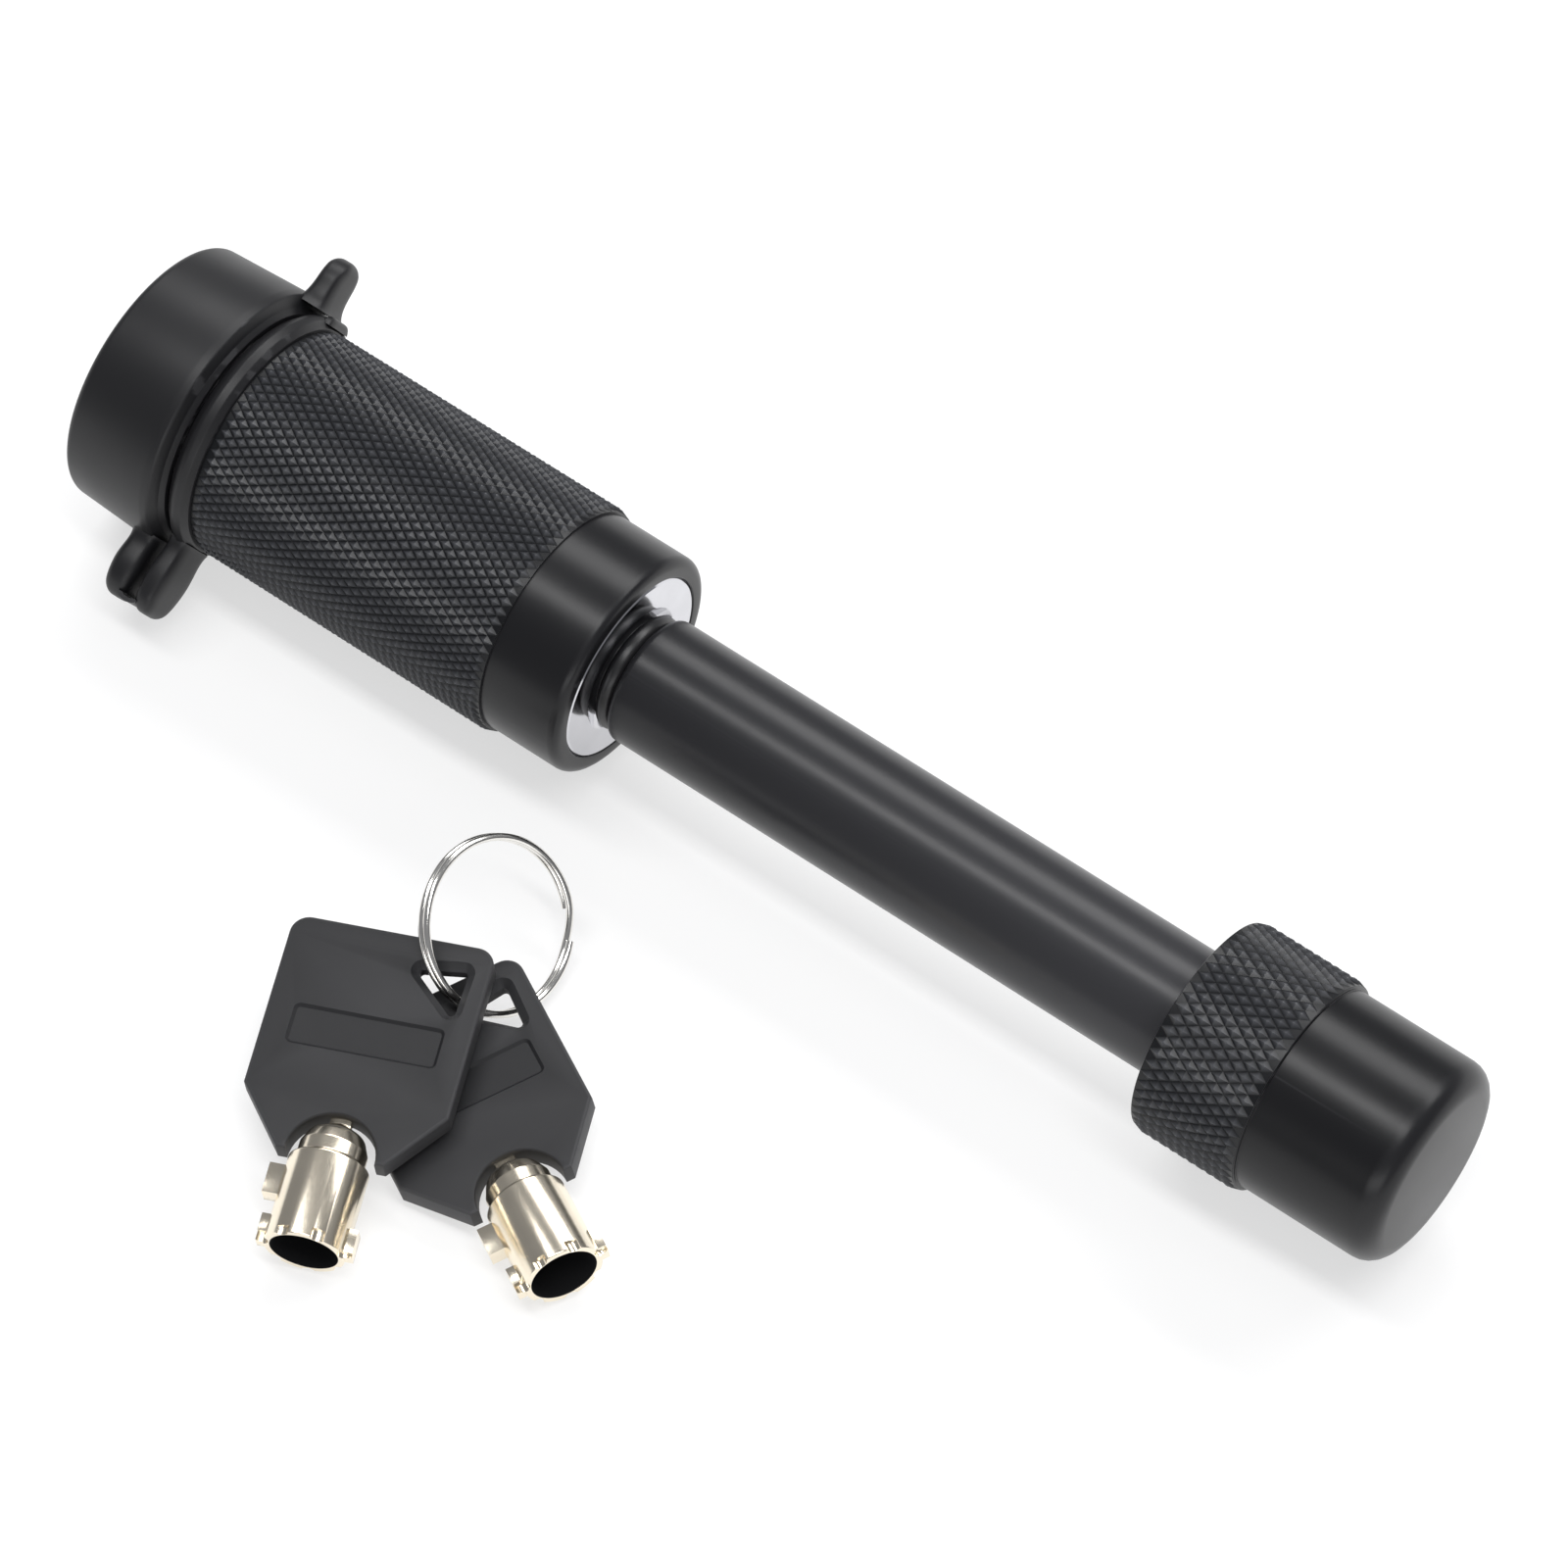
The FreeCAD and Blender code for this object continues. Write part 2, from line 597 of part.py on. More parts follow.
def key_head():
    """The flat moulded grip: a plate with a corner hole, a label recess and a notch for the tube."""
    corners = [
        (-KEY_HEAD_HALF_WIDTH, KEY_HEAD_TOP),
        (KEY_HEAD_HALF_WIDTH, KEY_HEAD_TOP),
        (KEY_HEAD_HALF_WIDTH, KEY_HEAD_SHOULDER),
        (KEY_FOOT_HALF_WIDTH, KEY_HEAD_FOOT),
        (-KEY_FOOT_HALF_WIDTH, KEY_HEAD_FOOT),
        (-KEY_HEAD_HALF_WIDTH, KEY_HEAD_SHOULDER),
    ]
    outline = Part.makePolygon([Vector(*c) for c in corners + corners[:1]])
    head = Part.Face(outline).extrude(Vector(0, 0, KEY_HEAD_THICK))
    head.translate(Vector(0, 0, -KEY_HEAD_THICK / 2))
    top_corners = [
        edge for edge in head.Edges
        if abs(edge.Vertexes[0].Y - KEY_HEAD_TOP) < 1e-6
        and abs(edge.Vertexes[1].Y - KEY_HEAD_TOP) < 1e-6
        and abs(edge.Vertexes[0].Z - edge.Vertexes[1].Z) > 1
    ]
    head = head.makeFillet(KEY_HEAD_ROUND, top_corners)
    rim = [edge for edge in head.Edges if abs(edge.BoundBox.ZLength) < 1e-6]
    head = head.makeChamfer(KEY_HEAD_BEVEL, rim)
    below = Vector(0, 0, -KEY_HEAD_THICK)
    through = Vector(0, 0, 2 * KEY_HEAD_THICK)
    hole = rounded_polygon(RING_HOLE, RING_HOLE_ROUND)
    hole.translate(below)
    hole_middle = hole.CenterOfMass
    head = head.cut(hole.extrude(through))
    rim = [
        edge for edge in head.Edges
        if edge.BoundBox.ZLength < 1e-6
        and abs(abs(edge.BoundBox.ZMin) - KEY_HEAD_THICK / 2) < 1e-6
        and edge.CenterOfMass.sub(Vector(hole_middle.x, hole_middle.y, edge.BoundBox.ZMin)).Length < 5
    ]
    head = head.makeChamfer(RING_HOLE_BEVEL, rim)
    notch = Part.makeCylinder(
        KEY_NOTCH_R, 2 * KEY_HEAD_THICK, Vector(0, KEY_HEAD_FOOT, -KEY_HEAD_THICK), Vector(0, 0, 1))
    head = head.cut(notch)
    label = rounded_polygon([
        (-LABEL_HALF_WIDTH, LABEL_TOP),
        (LABEL_HALF_WIDTH, LABEL_TOP),
        (LABEL_HALF_WIDTH, LABEL_BOTTOM),
        (-LABEL_HALF_WIDTH, LABEL_BOTTOM),
    ], LABEL_ROUND)
    label.translate(Vector(0, 0, KEY_HEAD_THICK / 2 - LABEL_DEPTH))
    head = head.cut(label.extrude(through))
    return head.cut(tang(SEATED))


def tang(gap):
    """The key's flat tang inside the grip, made larger all round by a gap."""
    return Part.makeBox(
        2 * (TANG_HALF_WIDTH + gap), TANG_TOP + gap - DOME_CENTRE, TANG_THICK + 2 * gap,
        Vector(-TANG_HALF_WIDTH - gap, DOME_CENTRE, -TANG_THICK / 2 - gap))


def lug(sizes, side):
    """A small square lug on one side of the key's tube."""
    reach, width, start, end = sizes
    block = Part.makeBox(reach - 3.0, end - start, width, Vector(3.0, start, -width / 2))
    if side < 0:
        block = block.mirror(Vector(), Vector(1, 0, 0))
    return block


def key_tube():
    """The key's steel tube: cuts round its open end, lugs outside, and a domed root on a tang."""
    along = Vector(0, 1, 0)
    tube = Part.makeCylinder(TUBE_R, TUBE_SHOULDER - TUBE_TIP, Vector(0, TUBE_TIP, 0), along)
    neck = Part.makeCylinder(NECK_TUBE_R, DOME_CENTRE - TUBE_SHOULDER + 0.5,
                             Vector(0, TUBE_SHOULDER - 0.5, 0), along)
    dome = Part.makeSphere(NECK_TUBE_R, Vector(0, DOME_CENTRE, 0))
    tube = tube.fuse([neck, dome, lug(TIP_LUG, 1), lug(TIP_LUG, -1), lug(HEAD_LUG, -1), tang(0)])
    tube = tube.removeSplitter()
    bore = Part.makeCylinder(TUBE_BORE_R, TUBE_BORE_DEPTH + 1, Vector(0, TUBE_TIP - 1, 0), along)
    tube = tube.cut(bore)
    for degrees, cut in zip(pin_places(), BITTING):
        depth = KEY_CUT_BASE + CUT_STEP * cut + 1
        groove = Part.makeCylinder(KEY_CUT_R, depth, Vector(0, TUBE_TIP - 1, TUBE_R + 0.3), along)
        groove.rotate(Vector(), along, degrees)
        tube = tube.cut(groove)
    return tube


def key_ring():
    """The split ring's two coils, drawn as one closed ring."""
    centre = Vector(SPLIT_RING_PLACE[0], SPLIT_RING_PLACE[1], GROUND + SPLIT_RING_PLACE[2])
    normal = Vector(*SPLIT_RING_NORMAL).normalize()
    shift = normal * (COIL_SPACING / 2)
    first = Part.makeTorus(SPLIT_RING_R, SPLIT_RING_WIRE_R, centre + shift, normal)
    second = Part.makeTorus(SPLIT_RING_R, SPLIT_RING_WIRE_R, centre - shift, normal)
    return first.fuse(second)


def main():
    os.makedirs(OUT, exist_ok=True)
    for make in (
        lock_barrel, face_plate, cylinder_shell, pin_block, driver_pins, pin_springs,
        block_snap_ring, retaining_pin, plug_rotor, key_pins, cam_cup, cam_washer, cam_screw,
        pin_shaft, end_knob, pin_o_ring, cap_ring, dust_cap, key_ring,
    ):
        save(make.__name__, make())
    for number in range(BALL_COUNT):
        save("lock_ball_%d" % (number + 1), lock_ball(number))
    for name, place, turn in (("key_1", KEY_1_PLACE, KEY_1_TURN), ("key_2", KEY_2_PLACE, KEY_2_TURN)):
        save(name + "_head", placed(key_head(), place, turn))
        save(name + "_tube", placed(key_tube(), place, turn))


main()
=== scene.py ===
# %% [markdown]
# # A hitch pin lock with its two keys
# A straight steel pin carries a knurled knob at one end and plugs into a knurled lock head at the
# other. A rubber cap on a strap keeps dirt out of the keyway. Two tubular keys hang on a split ring.
# The mechanism comes from the CAD model, which stays where it is. Everything that the eye meets
# first is made again here as a finer mesh, so that knurls, rounds and rubber look like themselves.

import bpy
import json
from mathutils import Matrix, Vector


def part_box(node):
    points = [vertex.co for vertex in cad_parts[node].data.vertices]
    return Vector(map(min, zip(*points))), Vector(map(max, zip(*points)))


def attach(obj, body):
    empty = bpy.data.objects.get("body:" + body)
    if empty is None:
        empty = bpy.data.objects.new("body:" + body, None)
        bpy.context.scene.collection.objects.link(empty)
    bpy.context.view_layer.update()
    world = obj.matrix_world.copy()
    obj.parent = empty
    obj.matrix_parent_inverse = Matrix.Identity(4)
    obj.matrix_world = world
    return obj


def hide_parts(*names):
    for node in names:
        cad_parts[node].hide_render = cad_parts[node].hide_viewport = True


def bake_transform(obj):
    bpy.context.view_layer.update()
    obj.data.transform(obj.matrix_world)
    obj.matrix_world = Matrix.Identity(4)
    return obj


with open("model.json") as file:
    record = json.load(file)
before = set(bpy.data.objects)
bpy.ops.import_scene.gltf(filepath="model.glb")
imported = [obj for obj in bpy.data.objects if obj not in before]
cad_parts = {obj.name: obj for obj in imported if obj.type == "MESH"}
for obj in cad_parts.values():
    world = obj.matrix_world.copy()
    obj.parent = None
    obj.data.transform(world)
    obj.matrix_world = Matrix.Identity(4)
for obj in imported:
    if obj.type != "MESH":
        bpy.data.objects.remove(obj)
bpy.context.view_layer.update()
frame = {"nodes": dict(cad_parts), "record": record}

# %% [markdown]
# ## Measures to work from
# The pin's axis is X and up is Z. Blender works in metres here. Places along the axis come from the
# boxes of the CAD nodes, so a piece lands where the solid that it stands for is. Outlines are written
# in millimetres, which are easier to read, and `MM` turns them into metres.

# %% Measures from the frame
import json
import math

import bmesh
import bpy
from mathutils import Matrix, Vector

MM = 0.001
scene = bpy.context.scene
joints = {joint["name"]: joint for joint in frame["record"]["behaviour"]["joints"]}

barrel_rear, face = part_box("lock_barrel")[0].x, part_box("lock_barrel")[1].x
barrel_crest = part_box("lock_barrel")[1].z
knob_start, knob_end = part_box("end_knob")[0].x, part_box("end_knob")[1].x
knob_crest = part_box("end_knob")[1].z
pin_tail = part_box("pin_shaft")[0].x
pin_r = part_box("pin_shaft")[1].z
cap_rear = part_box("dust_cap")[0].x
skirt_r = 17.25 * MM
ground = -skirt_r
hinge = Vector(joints["cap_hinge"]["pos_m"])
strap_way = Vector((0, hinge.y, hinge.z)).normalized()
print("strap runs towards", [round(part, 3) for part in strap_way], "and folds at x", hinge.x)

# %% [markdown]
# ## The camera
# A long lens far away keeps the parallel sides of the pin nearly parallel, as in a catalogue
# picture. The camera looks down on the lock from beyond the knob's end, a little over half way up.
# It is placed from the head's face, with three unit vectors: back, right and up.

# %% Camera
AZIMUTH = math.radians(36.9)
ELEVATION = math.radians(56.7)
AIM_RIGHT = 17.6 * MM
AIM_UP = -13.3 * MM
DISTANCE = 1.0116
back = Vector((
    math.sin(AZIMUTH) * math.cos(ELEVATION),
    -math.cos(AZIMUTH) * math.cos(ELEVATION),
    math.sin(ELEVATION),
))
right = Vector((math.cos(AZIMUTH), math.sin(AZIMUTH), 0))
up = back.cross(right)
camera = bpy.data.objects.new("camera", bpy.data.cameras.new("camera"))
scene.collection.objects.link(camera)
scene.camera = camera
camera.data.sensor_width = 36
camera.data.lens = 202.5
camera.data.clip_start = 0.05
camera.data.clip_end = 20
camera.matrix_world = Matrix((right, up, back)).transposed().to_4x4()
camera.location = Vector((face, 0, 0)) + AIM_RIGHT * right + AIM_UP * up + DISTANCE * back
print("camera stands at", [round(part, 3) for part in camera.location])

# %% [markdown]
# ## Floor and light
# Black gloss shows its lights more than its colour, so the lights are planned as reflections. A long
# box overhead draws the narrow bright line along the top of the pin, and a wide box behind draws the
# softer band above it. A weak box in front lifts the near side. A broad lamp that shows in no
# reflection lights the floor, which also glows like a light table, so that its shadows stay pale.

# %% Floor and lights
FLOOR_SIZE = 6.0
MIDDLE = Vector((-0.02, -0.01, 0))


def soft_box(name, way, distance, length, width, power, seen_in_gloss=True):
    """A rectangular lamp that faces the object, with its long side along X."""
    lamp = bpy.data.lights.new(name, "AREA")
    lamp.shape = "RECTANGLE"
    lamp.size = length
    lamp.size_y = width
    lamp.energy = power
    box = bpy.data.objects.new(name, lamp)
    scene.collection.objects.link(box)
    towards = Vector(way).normalized()
    side = Vector((1, 0, 0)) - towards * towards.x
    side.normalize()
    box.matrix_world = Matrix((side, towards.cross(side), towards)).transposed().to_4x4()
    box.location = MIDDLE + towards * distance
    box.visible_glossy = seen_in_gloss
    return box


floor_mesh = bpy.data.meshes.new("floor")
half = FLOOR_SIZE / 2
floor_mesh.from_pydata(
    [(-half, -half, ground), (half, -half, ground), (half, half, ground), (-half, half, ground)],
    [], [(0, 1, 2, 3)])
floor = bpy.data.objects.new("floor", floor_mesh)
scene.collection.objects.link(floor)

soft_box("top_box", way=(0.0, -0.13, 0.99), distance=0.9, length=1.2, width=0.14, power=5.6)
soft_box("rear_box", way=(-0.05, 0.65, 0.76), distance=0.9, length=1.3, width=0.34, power=7.0)
soft_box("front_box", way=(0.45, -0.85, 0.30), distance=1.0, length=0.9, width=0.25, power=1.8)
soft_box("floor_lamp", way=(0.1, -0.2, 1.0), distance=1.6, length=1.6, width=1.6, power=6.0,
         seen_in_gloss=False)

world = bpy.data.worlds.new("studio")
world.use_nodes = True
world.node_tree.nodes["Background"].inputs["Color"].default_value = (0.93, 0.95, 1.0, 1)
world.node_tree.nodes["Background"].inputs["Strength"].default_value = 0.24
scene.world = world
scene.view_settings.view_transform = "Standard"

# %% [markdown]
# ## Tools for finishes
# A real surface is never one even colour. Each finish here starts as a Principled shader and gets
# some of: noise in its roughness, a fine bump, and a change of tone. The noise is laid in the
# piece's own coordinates, so it stays put when the piece moves.

# %% Finish tools
def new_finish(name, colour, roughness, metallic=0.0):
    """A material with one Principled shader, and that shader."""
    finish = bpy.data.materials.new(name)
    finish.use_nodes = True
    shader = finish.node_tree.nodes["Principled BSDF"]
    shader.inputs["Base Color"].default_value = (*colour, 1)
    shader.inputs["Roughness"].default_value = roughness
    shader.inputs["Metallic"].default_value = metallic
    return finish, shader


def own_coordinates(finish, stretch=(1, 1, 1)):
    """The piece's own coordinates, stretched."""
    tree = finish.node_tree
    place = tree.nodes.new("ShaderNodeTexCoord")
    mapping = tree.nodes.new("ShaderNodeMapping")
    mapping.inputs["Scale"].default_value = stretch
    tree.links.new(place.outputs["Object"], mapping.inputs["Vector"])
    return mapping.outputs["Vector"]


def noise(finish, grain, stretch=(1, 1, 1), detail=3.0):
    """Cloudy noise whose grains are about this many metres across."""
    tree = finish.node_tree
    cloud = tree.nodes.new("ShaderNodeTexNoise")
    cloud.inputs["Scale"].default_value = 1 / grain
    cloud.inputs["Detail"].default_value = detail
    tree.links.new(own_coordinates(finish, stretch), cloud.inputs["Vector"])
    return cloud.outputs["Fac"]


print("own coordinates and noise are ready")

# %% [markdown]
# ## Variation
# A texture gives numbers around the middle of 0 to 1. These helpers stretch them to a useful range and
# plug them into roughness, colour or bump. An edge mask finds the corners that hands polish first.

# %% Variation tools
def spread(finish, source, low, high, start=0.3, end=0.7):
    """A source stretched over a new range."""
    tree = finish.node_tree
    stretcher = tree.nodes.new("ShaderNodeMapRange")
    stretcher.inputs["From Min"].default_value = start
    stretcher.inputs["From Max"].default_value = end
    stretcher.inputs["To Min"].default_value = low
    stretcher.inputs["To Max"].default_value = high
    tree.links.new(source, stretcher.inputs["Value"])
    return stretcher.outputs["Result"]


def vary_roughness(finish, shader, source, low, high):
    """Roughness between two values, spread so widely that it seldom levels off at either one."""
    finish.node_tree.links.new(
        spread(finish, source, low, high, start=0.1, end=0.9), shader.inputs["Roughness"])


def vary_colour(finish, shader, source, first, second):
    """Colour between two tones as the source goes from 0 to 1."""
    tree = finish.node_tree
    blend = tree.nodes.new("ShaderNodeMix")
    blend.data_type = "RGBA"
    blend.inputs[6].default_value = (*first, 1)
    blend.inputs[7].default_value = (*second, 1)
    tree.links.new(source, blend.inputs[0])
    tree.links.new(blend.outputs[2], shader.inputs["Base Color"])


def add_bump(finish, shader, source, depth, strength=1.0):
    """A bump this many metres deep, on top of any bump that is there."""
    tree = finish.node_tree
    bump = tree.nodes.new("ShaderNodeBump")
    bump.inputs["Distance"].default_value = depth
    bump.inputs["Strength"].default_value = strength
    normal = shader.inputs["Normal"]
    if normal.is_linked:
        tree.links.new(normal.links[0].from_socket, bump.inputs["Normal"])
    tree.links.new(source, bump.inputs["Height"])
    tree.links.new(bump.outputs["Normal"], normal)


def edge_mask(finish, start=0.51, end=0.57):
    """1 on sharp outer edges, 0 elsewhere."""
    geometry = finish.node_tree.nodes.new("ShaderNodeNewGeometry")
    return spread(finish, geometry.outputs["Pointiness"], 0.0, 1.0, start, end)


print("roughness, colour, bump and edges can now vary")

# %% [markdown]
# ## Black coated steel
# The pin, the knob and the plain collar wear a hard black coating, like powder coat: it is smooth
# enough for long soft highlights, with a fine orange peel. Where corners are handled, the coating
# polishes to a lighter grey. The knurl has the same coating, and its tone follows the distance from
# the axis: its tips are lighter, partly as wear and partly as a painted highlight, and its grooves
# are darker as painted shade. A finish keeps its roughness on one side of 0.27, because the denoiser
# draws outlines where a smooth finish crosses that value.

# %% Coating finishes
coating, coating_shader = new_finish("black_coating", (0.007, 0.007, 0.008), 0.28)
vary_colour(coating, coating_shader, edge_mask(coating), (0.006, 0.006, 0.007), (0.03, 0.03, 0.033))
vary_roughness(coating, coating_shader, noise(coating, 9 * MM, detail=1.0), 0.285, 0.325)
coating_shader.inputs["Specular IOR Level"].default_value = 0.3
add_bump(coating, coating_shader, noise(coating, 0.7 * MM, detail=2.0), 0.006 * MM, 0.5)
add_bump(coating, coating_shader, noise(coating, 0.12 * MM, detail=1.0), 0.0015 * MM, 0.4)


def knurl_coating(name, crest, depth):
    """Coating on a knurl whose tips stand at this radius."""
    finish, shader = new_finish(name, (0.02, 0.021, 0.024), 0.38)
    tree = finish.node_tree
    across = tree.nodes.new("ShaderNodeVectorMath")
    across.operation = "MULTIPLY"
    across.inputs[1].default_value = (0, 1, 1)
    tree.links.new(own_coordinates(finish), across.inputs[0])
    radius = tree.nodes.new("ShaderNodeVectorMath")
    radius.operation = "LENGTH"
    tree.links.new(across.outputs["Vector"], radius.inputs[0])
    # Tips lighter, partly wear and partly painted highlight; grooves darker, painted shade.
    height = spread(finish, radius.outputs["Value"], 0.0, 1.0, crest - depth, crest)
    vary_colour(finish, shader, height, (0.004, 0.0044, 0.0055), (0.055, 0.057, 0.064))
    shader.inputs["Specular IOR Level"].default_value = 0.35
    vary_roughness(finish, shader, noise(finish, 1.5 * MM), 0.3, 0.4)
    add_bump(finish, shader, noise(finish, 0.15 * MM, detail=2.0), 0.004 * MM, 0.5)
    return finish


print("made", coating.name)

# %% [markdown]
# ## Rubber and plastic
# The cap is a satin black rubber, softer in its highlight than the coating, with the faint flow
# marks of moulding. The seal is smoother and wet looking. The key grips are matt plastic from a
# spark-eroded mould, which leaves an even fine grain.

# %% Rubber and plastic finishes
cap_rubber, rubber_shader = new_finish("cap_rubber", (0.02, 0.02, 0.022), 0.46)
vary_colour(cap_rubber, rubber_shader, edge_mask(cap_rubber), (0.008, 0.008, 0.0092), (0.026, 0.026, 0.028))
rubber_shader.inputs["Specular IOR Level"].default_value = 0.38
vary_roughness(cap_rubber, rubber_shader, noise(cap_rubber, 6 * MM), 0.4, 0.46)
add_bump(cap_rubber, rubber_shader, noise(cap_rubber, 0.25 * MM, detail=4.0), 0.006 * MM, 0.5)

seal_rubber, seal_shader = new_finish("seal_rubber", (0.012, 0.012, 0.013), 0.3)
vary_roughness(seal_rubber, seal_shader, noise(seal_rubber, 1.2 * MM), 0.29, 0.4)
add_bump(seal_rubber, seal_shader, noise(seal_rubber, 0.3 * MM), 0.004 * MM, 0.5)

grip_plastic, grip_shader = new_finish("grip_plastic", (0.026, 0.026, 0.028), 0.5)
vary_colour(grip_plastic, grip_shader, edge_mask(grip_plastic),
            (0.012, 0.012, 0.0135), (0.045, 0.045, 0.048))
vary_roughness(grip_plastic, grip_shader, noise(grip_plastic, 3 * MM), 0.5, 0.58)
grip_shader.inputs["Specular IOR Level"].default_value = 0.35
add_bump(grip_plastic, grip_shader, noise(grip_plastic, 0.16 * MM, detail=2.0), 0.009 * MM, 0.6)
print("made", [finish.name for finish in (cap_rubber, seal_rubber, grip_plastic)])

# %% [markdown]
# ## Metals
# Each metal has a grain in its roughness and its bump, and drifts between two close tones. The face
# plate is polished nearly to a mirror. The keys are nickel plated tube, warm in tone, and the split
# ring is bright wire. Inside are die-cast zinc, spring wire, turned brass and ground steel. The grain
# of brass and ground steel is narrow along X, like the marks of a lathe. The bore of a key is painted
# near black and almost without shine, as painted shade down the tube.

# %% Metal finishes
def metal(name, colour, low, high, grain, stretch, depth):
    """A metal with grain in its roughness and bump, and a tone that drifts a little."""
    finish, shader = new_finish(name, colour, (low + high) / 2, metallic=1.0)
    marks = noise(finish, grain, stretch, detail=4.0)
    vary_roughness(finish, shader, marks, low, high)
    darker = tuple(0.93 * part for part in colour)
    vary_colour(finish, shader, spread(finish, noise(finish, 4 * MM), 0.0, 1.0), darker, colour)
    add_bump(finish, shader, marks, depth, 0.4)
    return finish


polished_plate = metal("polished_plate", (0.66, 0.66, 0.69), 0.08, 0.12, 0.5 * MM, (1, 1, 1), 0.0003 * MM)
nickel = metal("nickel", (0.96, 0.87, 0.71), 0.17, 0.25, 0.35 * MM, (1, 1, 1), 0.001 * MM)
ring_wire = metal("ring_wire", (0.9, 0.88, 0.84), 0.13, 0.2, 0.3 * MM, (1, 1, 1), 0.0005 * MM)
# Near black with little shine: painted shade down a key's bore.
bore_painted_shade, bore_shader = new_finish("bore_painted_shade", (0.01, 0.01, 0.011), 0.85)
bore_shader.inputs["Specular IOR Level"].default_value = 0.12
vary_roughness(bore_painted_shade, bore_shader, noise(bore_painted_shade, 0.4 * MM), 0.8, 0.95)
zinc = metal("zinc", (0.60, 0.60, 0.61), 0.32, 0.5, 0.5 * MM, (1, 1, 1), 0.01 * MM)
brass = metal("brass", (0.78, 0.60, 0.31), 0.29, 0.38, 0.3 * MM, (4, 1, 1), 0.004 * MM)
spring_steel = metal("spring_steel", (0.45, 0.45, 0.47), 0.18, 0.26, 0.2 * MM, (1, 1, 1), 0.002 * MM)
ground_steel = metal("ground_steel", (0.56, 0.56, 0.58), 0.18, 0.26, 0.25 * MM, (6, 1, 1), 0.003 * MM)

floor_finish, floor_shader = new_finish("floor_paint", (0.35, 0.35, 0.35), 0.75)
vary_roughness(floor_finish, floor_shader, noise(floor_finish, 60 * MM), 0.7, 0.8)
floor_shader.inputs["Emission Color"].default_value = (1, 1, 1, 1)
floor_shader.inputs["Emission Strength"].default_value = 0.62
floor_mesh.materials.append(floor_finish)
print(len(bpy.data.materials), "finishes")

# %% [markdown]
# ## CAD nodes that stay
# The face plate and the mechanism inside the head need no finer shape, so those nodes stay and only
# get a finish. The mechanism shows when the dust cap is open or the pin is drawn out.

# %% Finishes for the mechanism
INSIDE = {
    "face_plate": polished_plate,
    "cylinder_shell": zinc,
    "pin_block": brass,
    "driver_pins": brass,
    "pin_springs": spring_steel,
    "block_snap_ring": spring_steel,
    "retaining_pin": ground_steel,
    "plug_rotor": zinc,
    "key_pins": brass,
    "cam_cup": ground_steel,
    "cam_washer": ground_steel,
    "cam_screw": ground_steel,
    "lock_ball_1": ground_steel,
    "lock_ball_2": ground_steel,
    "lock_ball_3": ground_steel,
}
for node, finish in INSIDE.items():
    for material_slot in frame["nodes"][node].material_slots:
        material_slot.material = finish
print(len(INSIDE), "CAD nodes keep their shape")

# %% [markdown]
# ## Turning on the lathe
# Most of this lock was turned, so most pieces here are too: an outline of distance along the axis
# and radius, swept once round X. A real edge is never sharp, and a tiny round catches the light, so
# a corner may carry a radius, and the helper replaces it with an arc.

# %% Lathe tools
ARC_STEPS = 6
TURN_STEPS = 256


def rounded(corners):
    """An outline whose corners (along, radius, round) become arcs. A corner without a round stays."""
    points = []
    for i, corner in enumerate(corners):
        here = Vector(corner[:2])
        if len(corner) < 3 or i in (0, len(corners) - 1):
            points.append(here)
            continue
        before = (Vector(corners[i - 1][:2]) - here).normalized()
        after = (Vector(corners[i + 1][:2]) - here).normalized()
        half_angle = before.angle(after) / 2
        reach = corner[2] / math.tan(half_angle)
        centre = here + (before + after).normalized() * corner[2] / math.sin(half_angle)
        first = (here + before * reach - centre).normalized()
        last = (here + after * reach - centre).normalized()
        for step in range(ARC_STEPS + 1):
            points.append(centre + first.slerp(last, step / ARC_STEPS) * corner[2])
    return points


print("an arc has", ARC_STEPS, "steps and a full turn has", TURN_STEPS)

# %% [markdown]
# ## Adding a piece
# Each finished mesh becomes an object that rides on a moving body, fills a material slot and stands for
# the CAD nodes that it replaces. Edges sharper than the crease angle stay sharp, the rest look smooth.
# A mesh that comes with two finishes keeps both.

# %% Piece tool
def add_piece(name, mesh, finish, body, replaced=(), crease=32):
    """Link a mesh as a finished piece that rides on a body."""
    mesh.shade_smooth()
    mesh.set_sharp_from_angle(angle=math.radians(crease))
    if len(mesh.materials) < 2:
        mesh.materials.clear()
        mesh.materials.append(finish)
    piece = bpy.data.objects.new(name, mesh)
    scene.collection.objects.link(piece)
    if body:
        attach(piece, body)
    if replaced:
        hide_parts(*replaced)
    print(name, len(mesh.vertices), "points")
    return piece


# %% [markdown]
# ## Sweeping an outline
# The lathe turns an outline once round the axis. A point on the axis stays a single point, so that a
# solid end closes in a fan.

# %% Sweep tools
def lathe(build, outline, closed, steps=TURN_STEPS):
    """Sweep an outline round X into a bmesh. An open outline starts and ends on the axis."""
    rings = []
    for point in outline:
        if point.y < 1e-7:
            rings.append([build.verts.new((point.x, 0, 0))])
            continue
        rings.append([
            build.verts.new((
                point.x,
                point.y * math.sin(2 * math.pi * k / steps),
                point.y * math.cos(2 * math.pi * k / steps),
            ))
            for k in range(steps)
        ])
    pairs = list(zip(rings, rings[1:]))
    if closed:
        pairs.append((rings[-1], rings[0]))
    for one, two in pairs:
        for k in range(steps):
            after = (k + 1) % steps
            corners = [one[k % len(one)], one[after % len(one)], two[after % len(two)], two[k % len(two)]]
            corners = list(dict.fromkeys(corners))
            if len(corners) > 2:
                build.faces.new(corners)


def to_mesh(name, build):
    """Turn a bmesh into a mesh with its faces looking outward."""
    bmesh.ops.recalc_face_normals(build, faces=build.faces)
    mesh = bpy.data.meshes.new(name)
    build.to_mesh(mesh)
    build.free()
    return mesh


def in_metres(corners):
    """Outline corners in millimetres as a rounded outline in metres."""
    return rounded([tuple(part * MM for part in corner) for corner in corners])


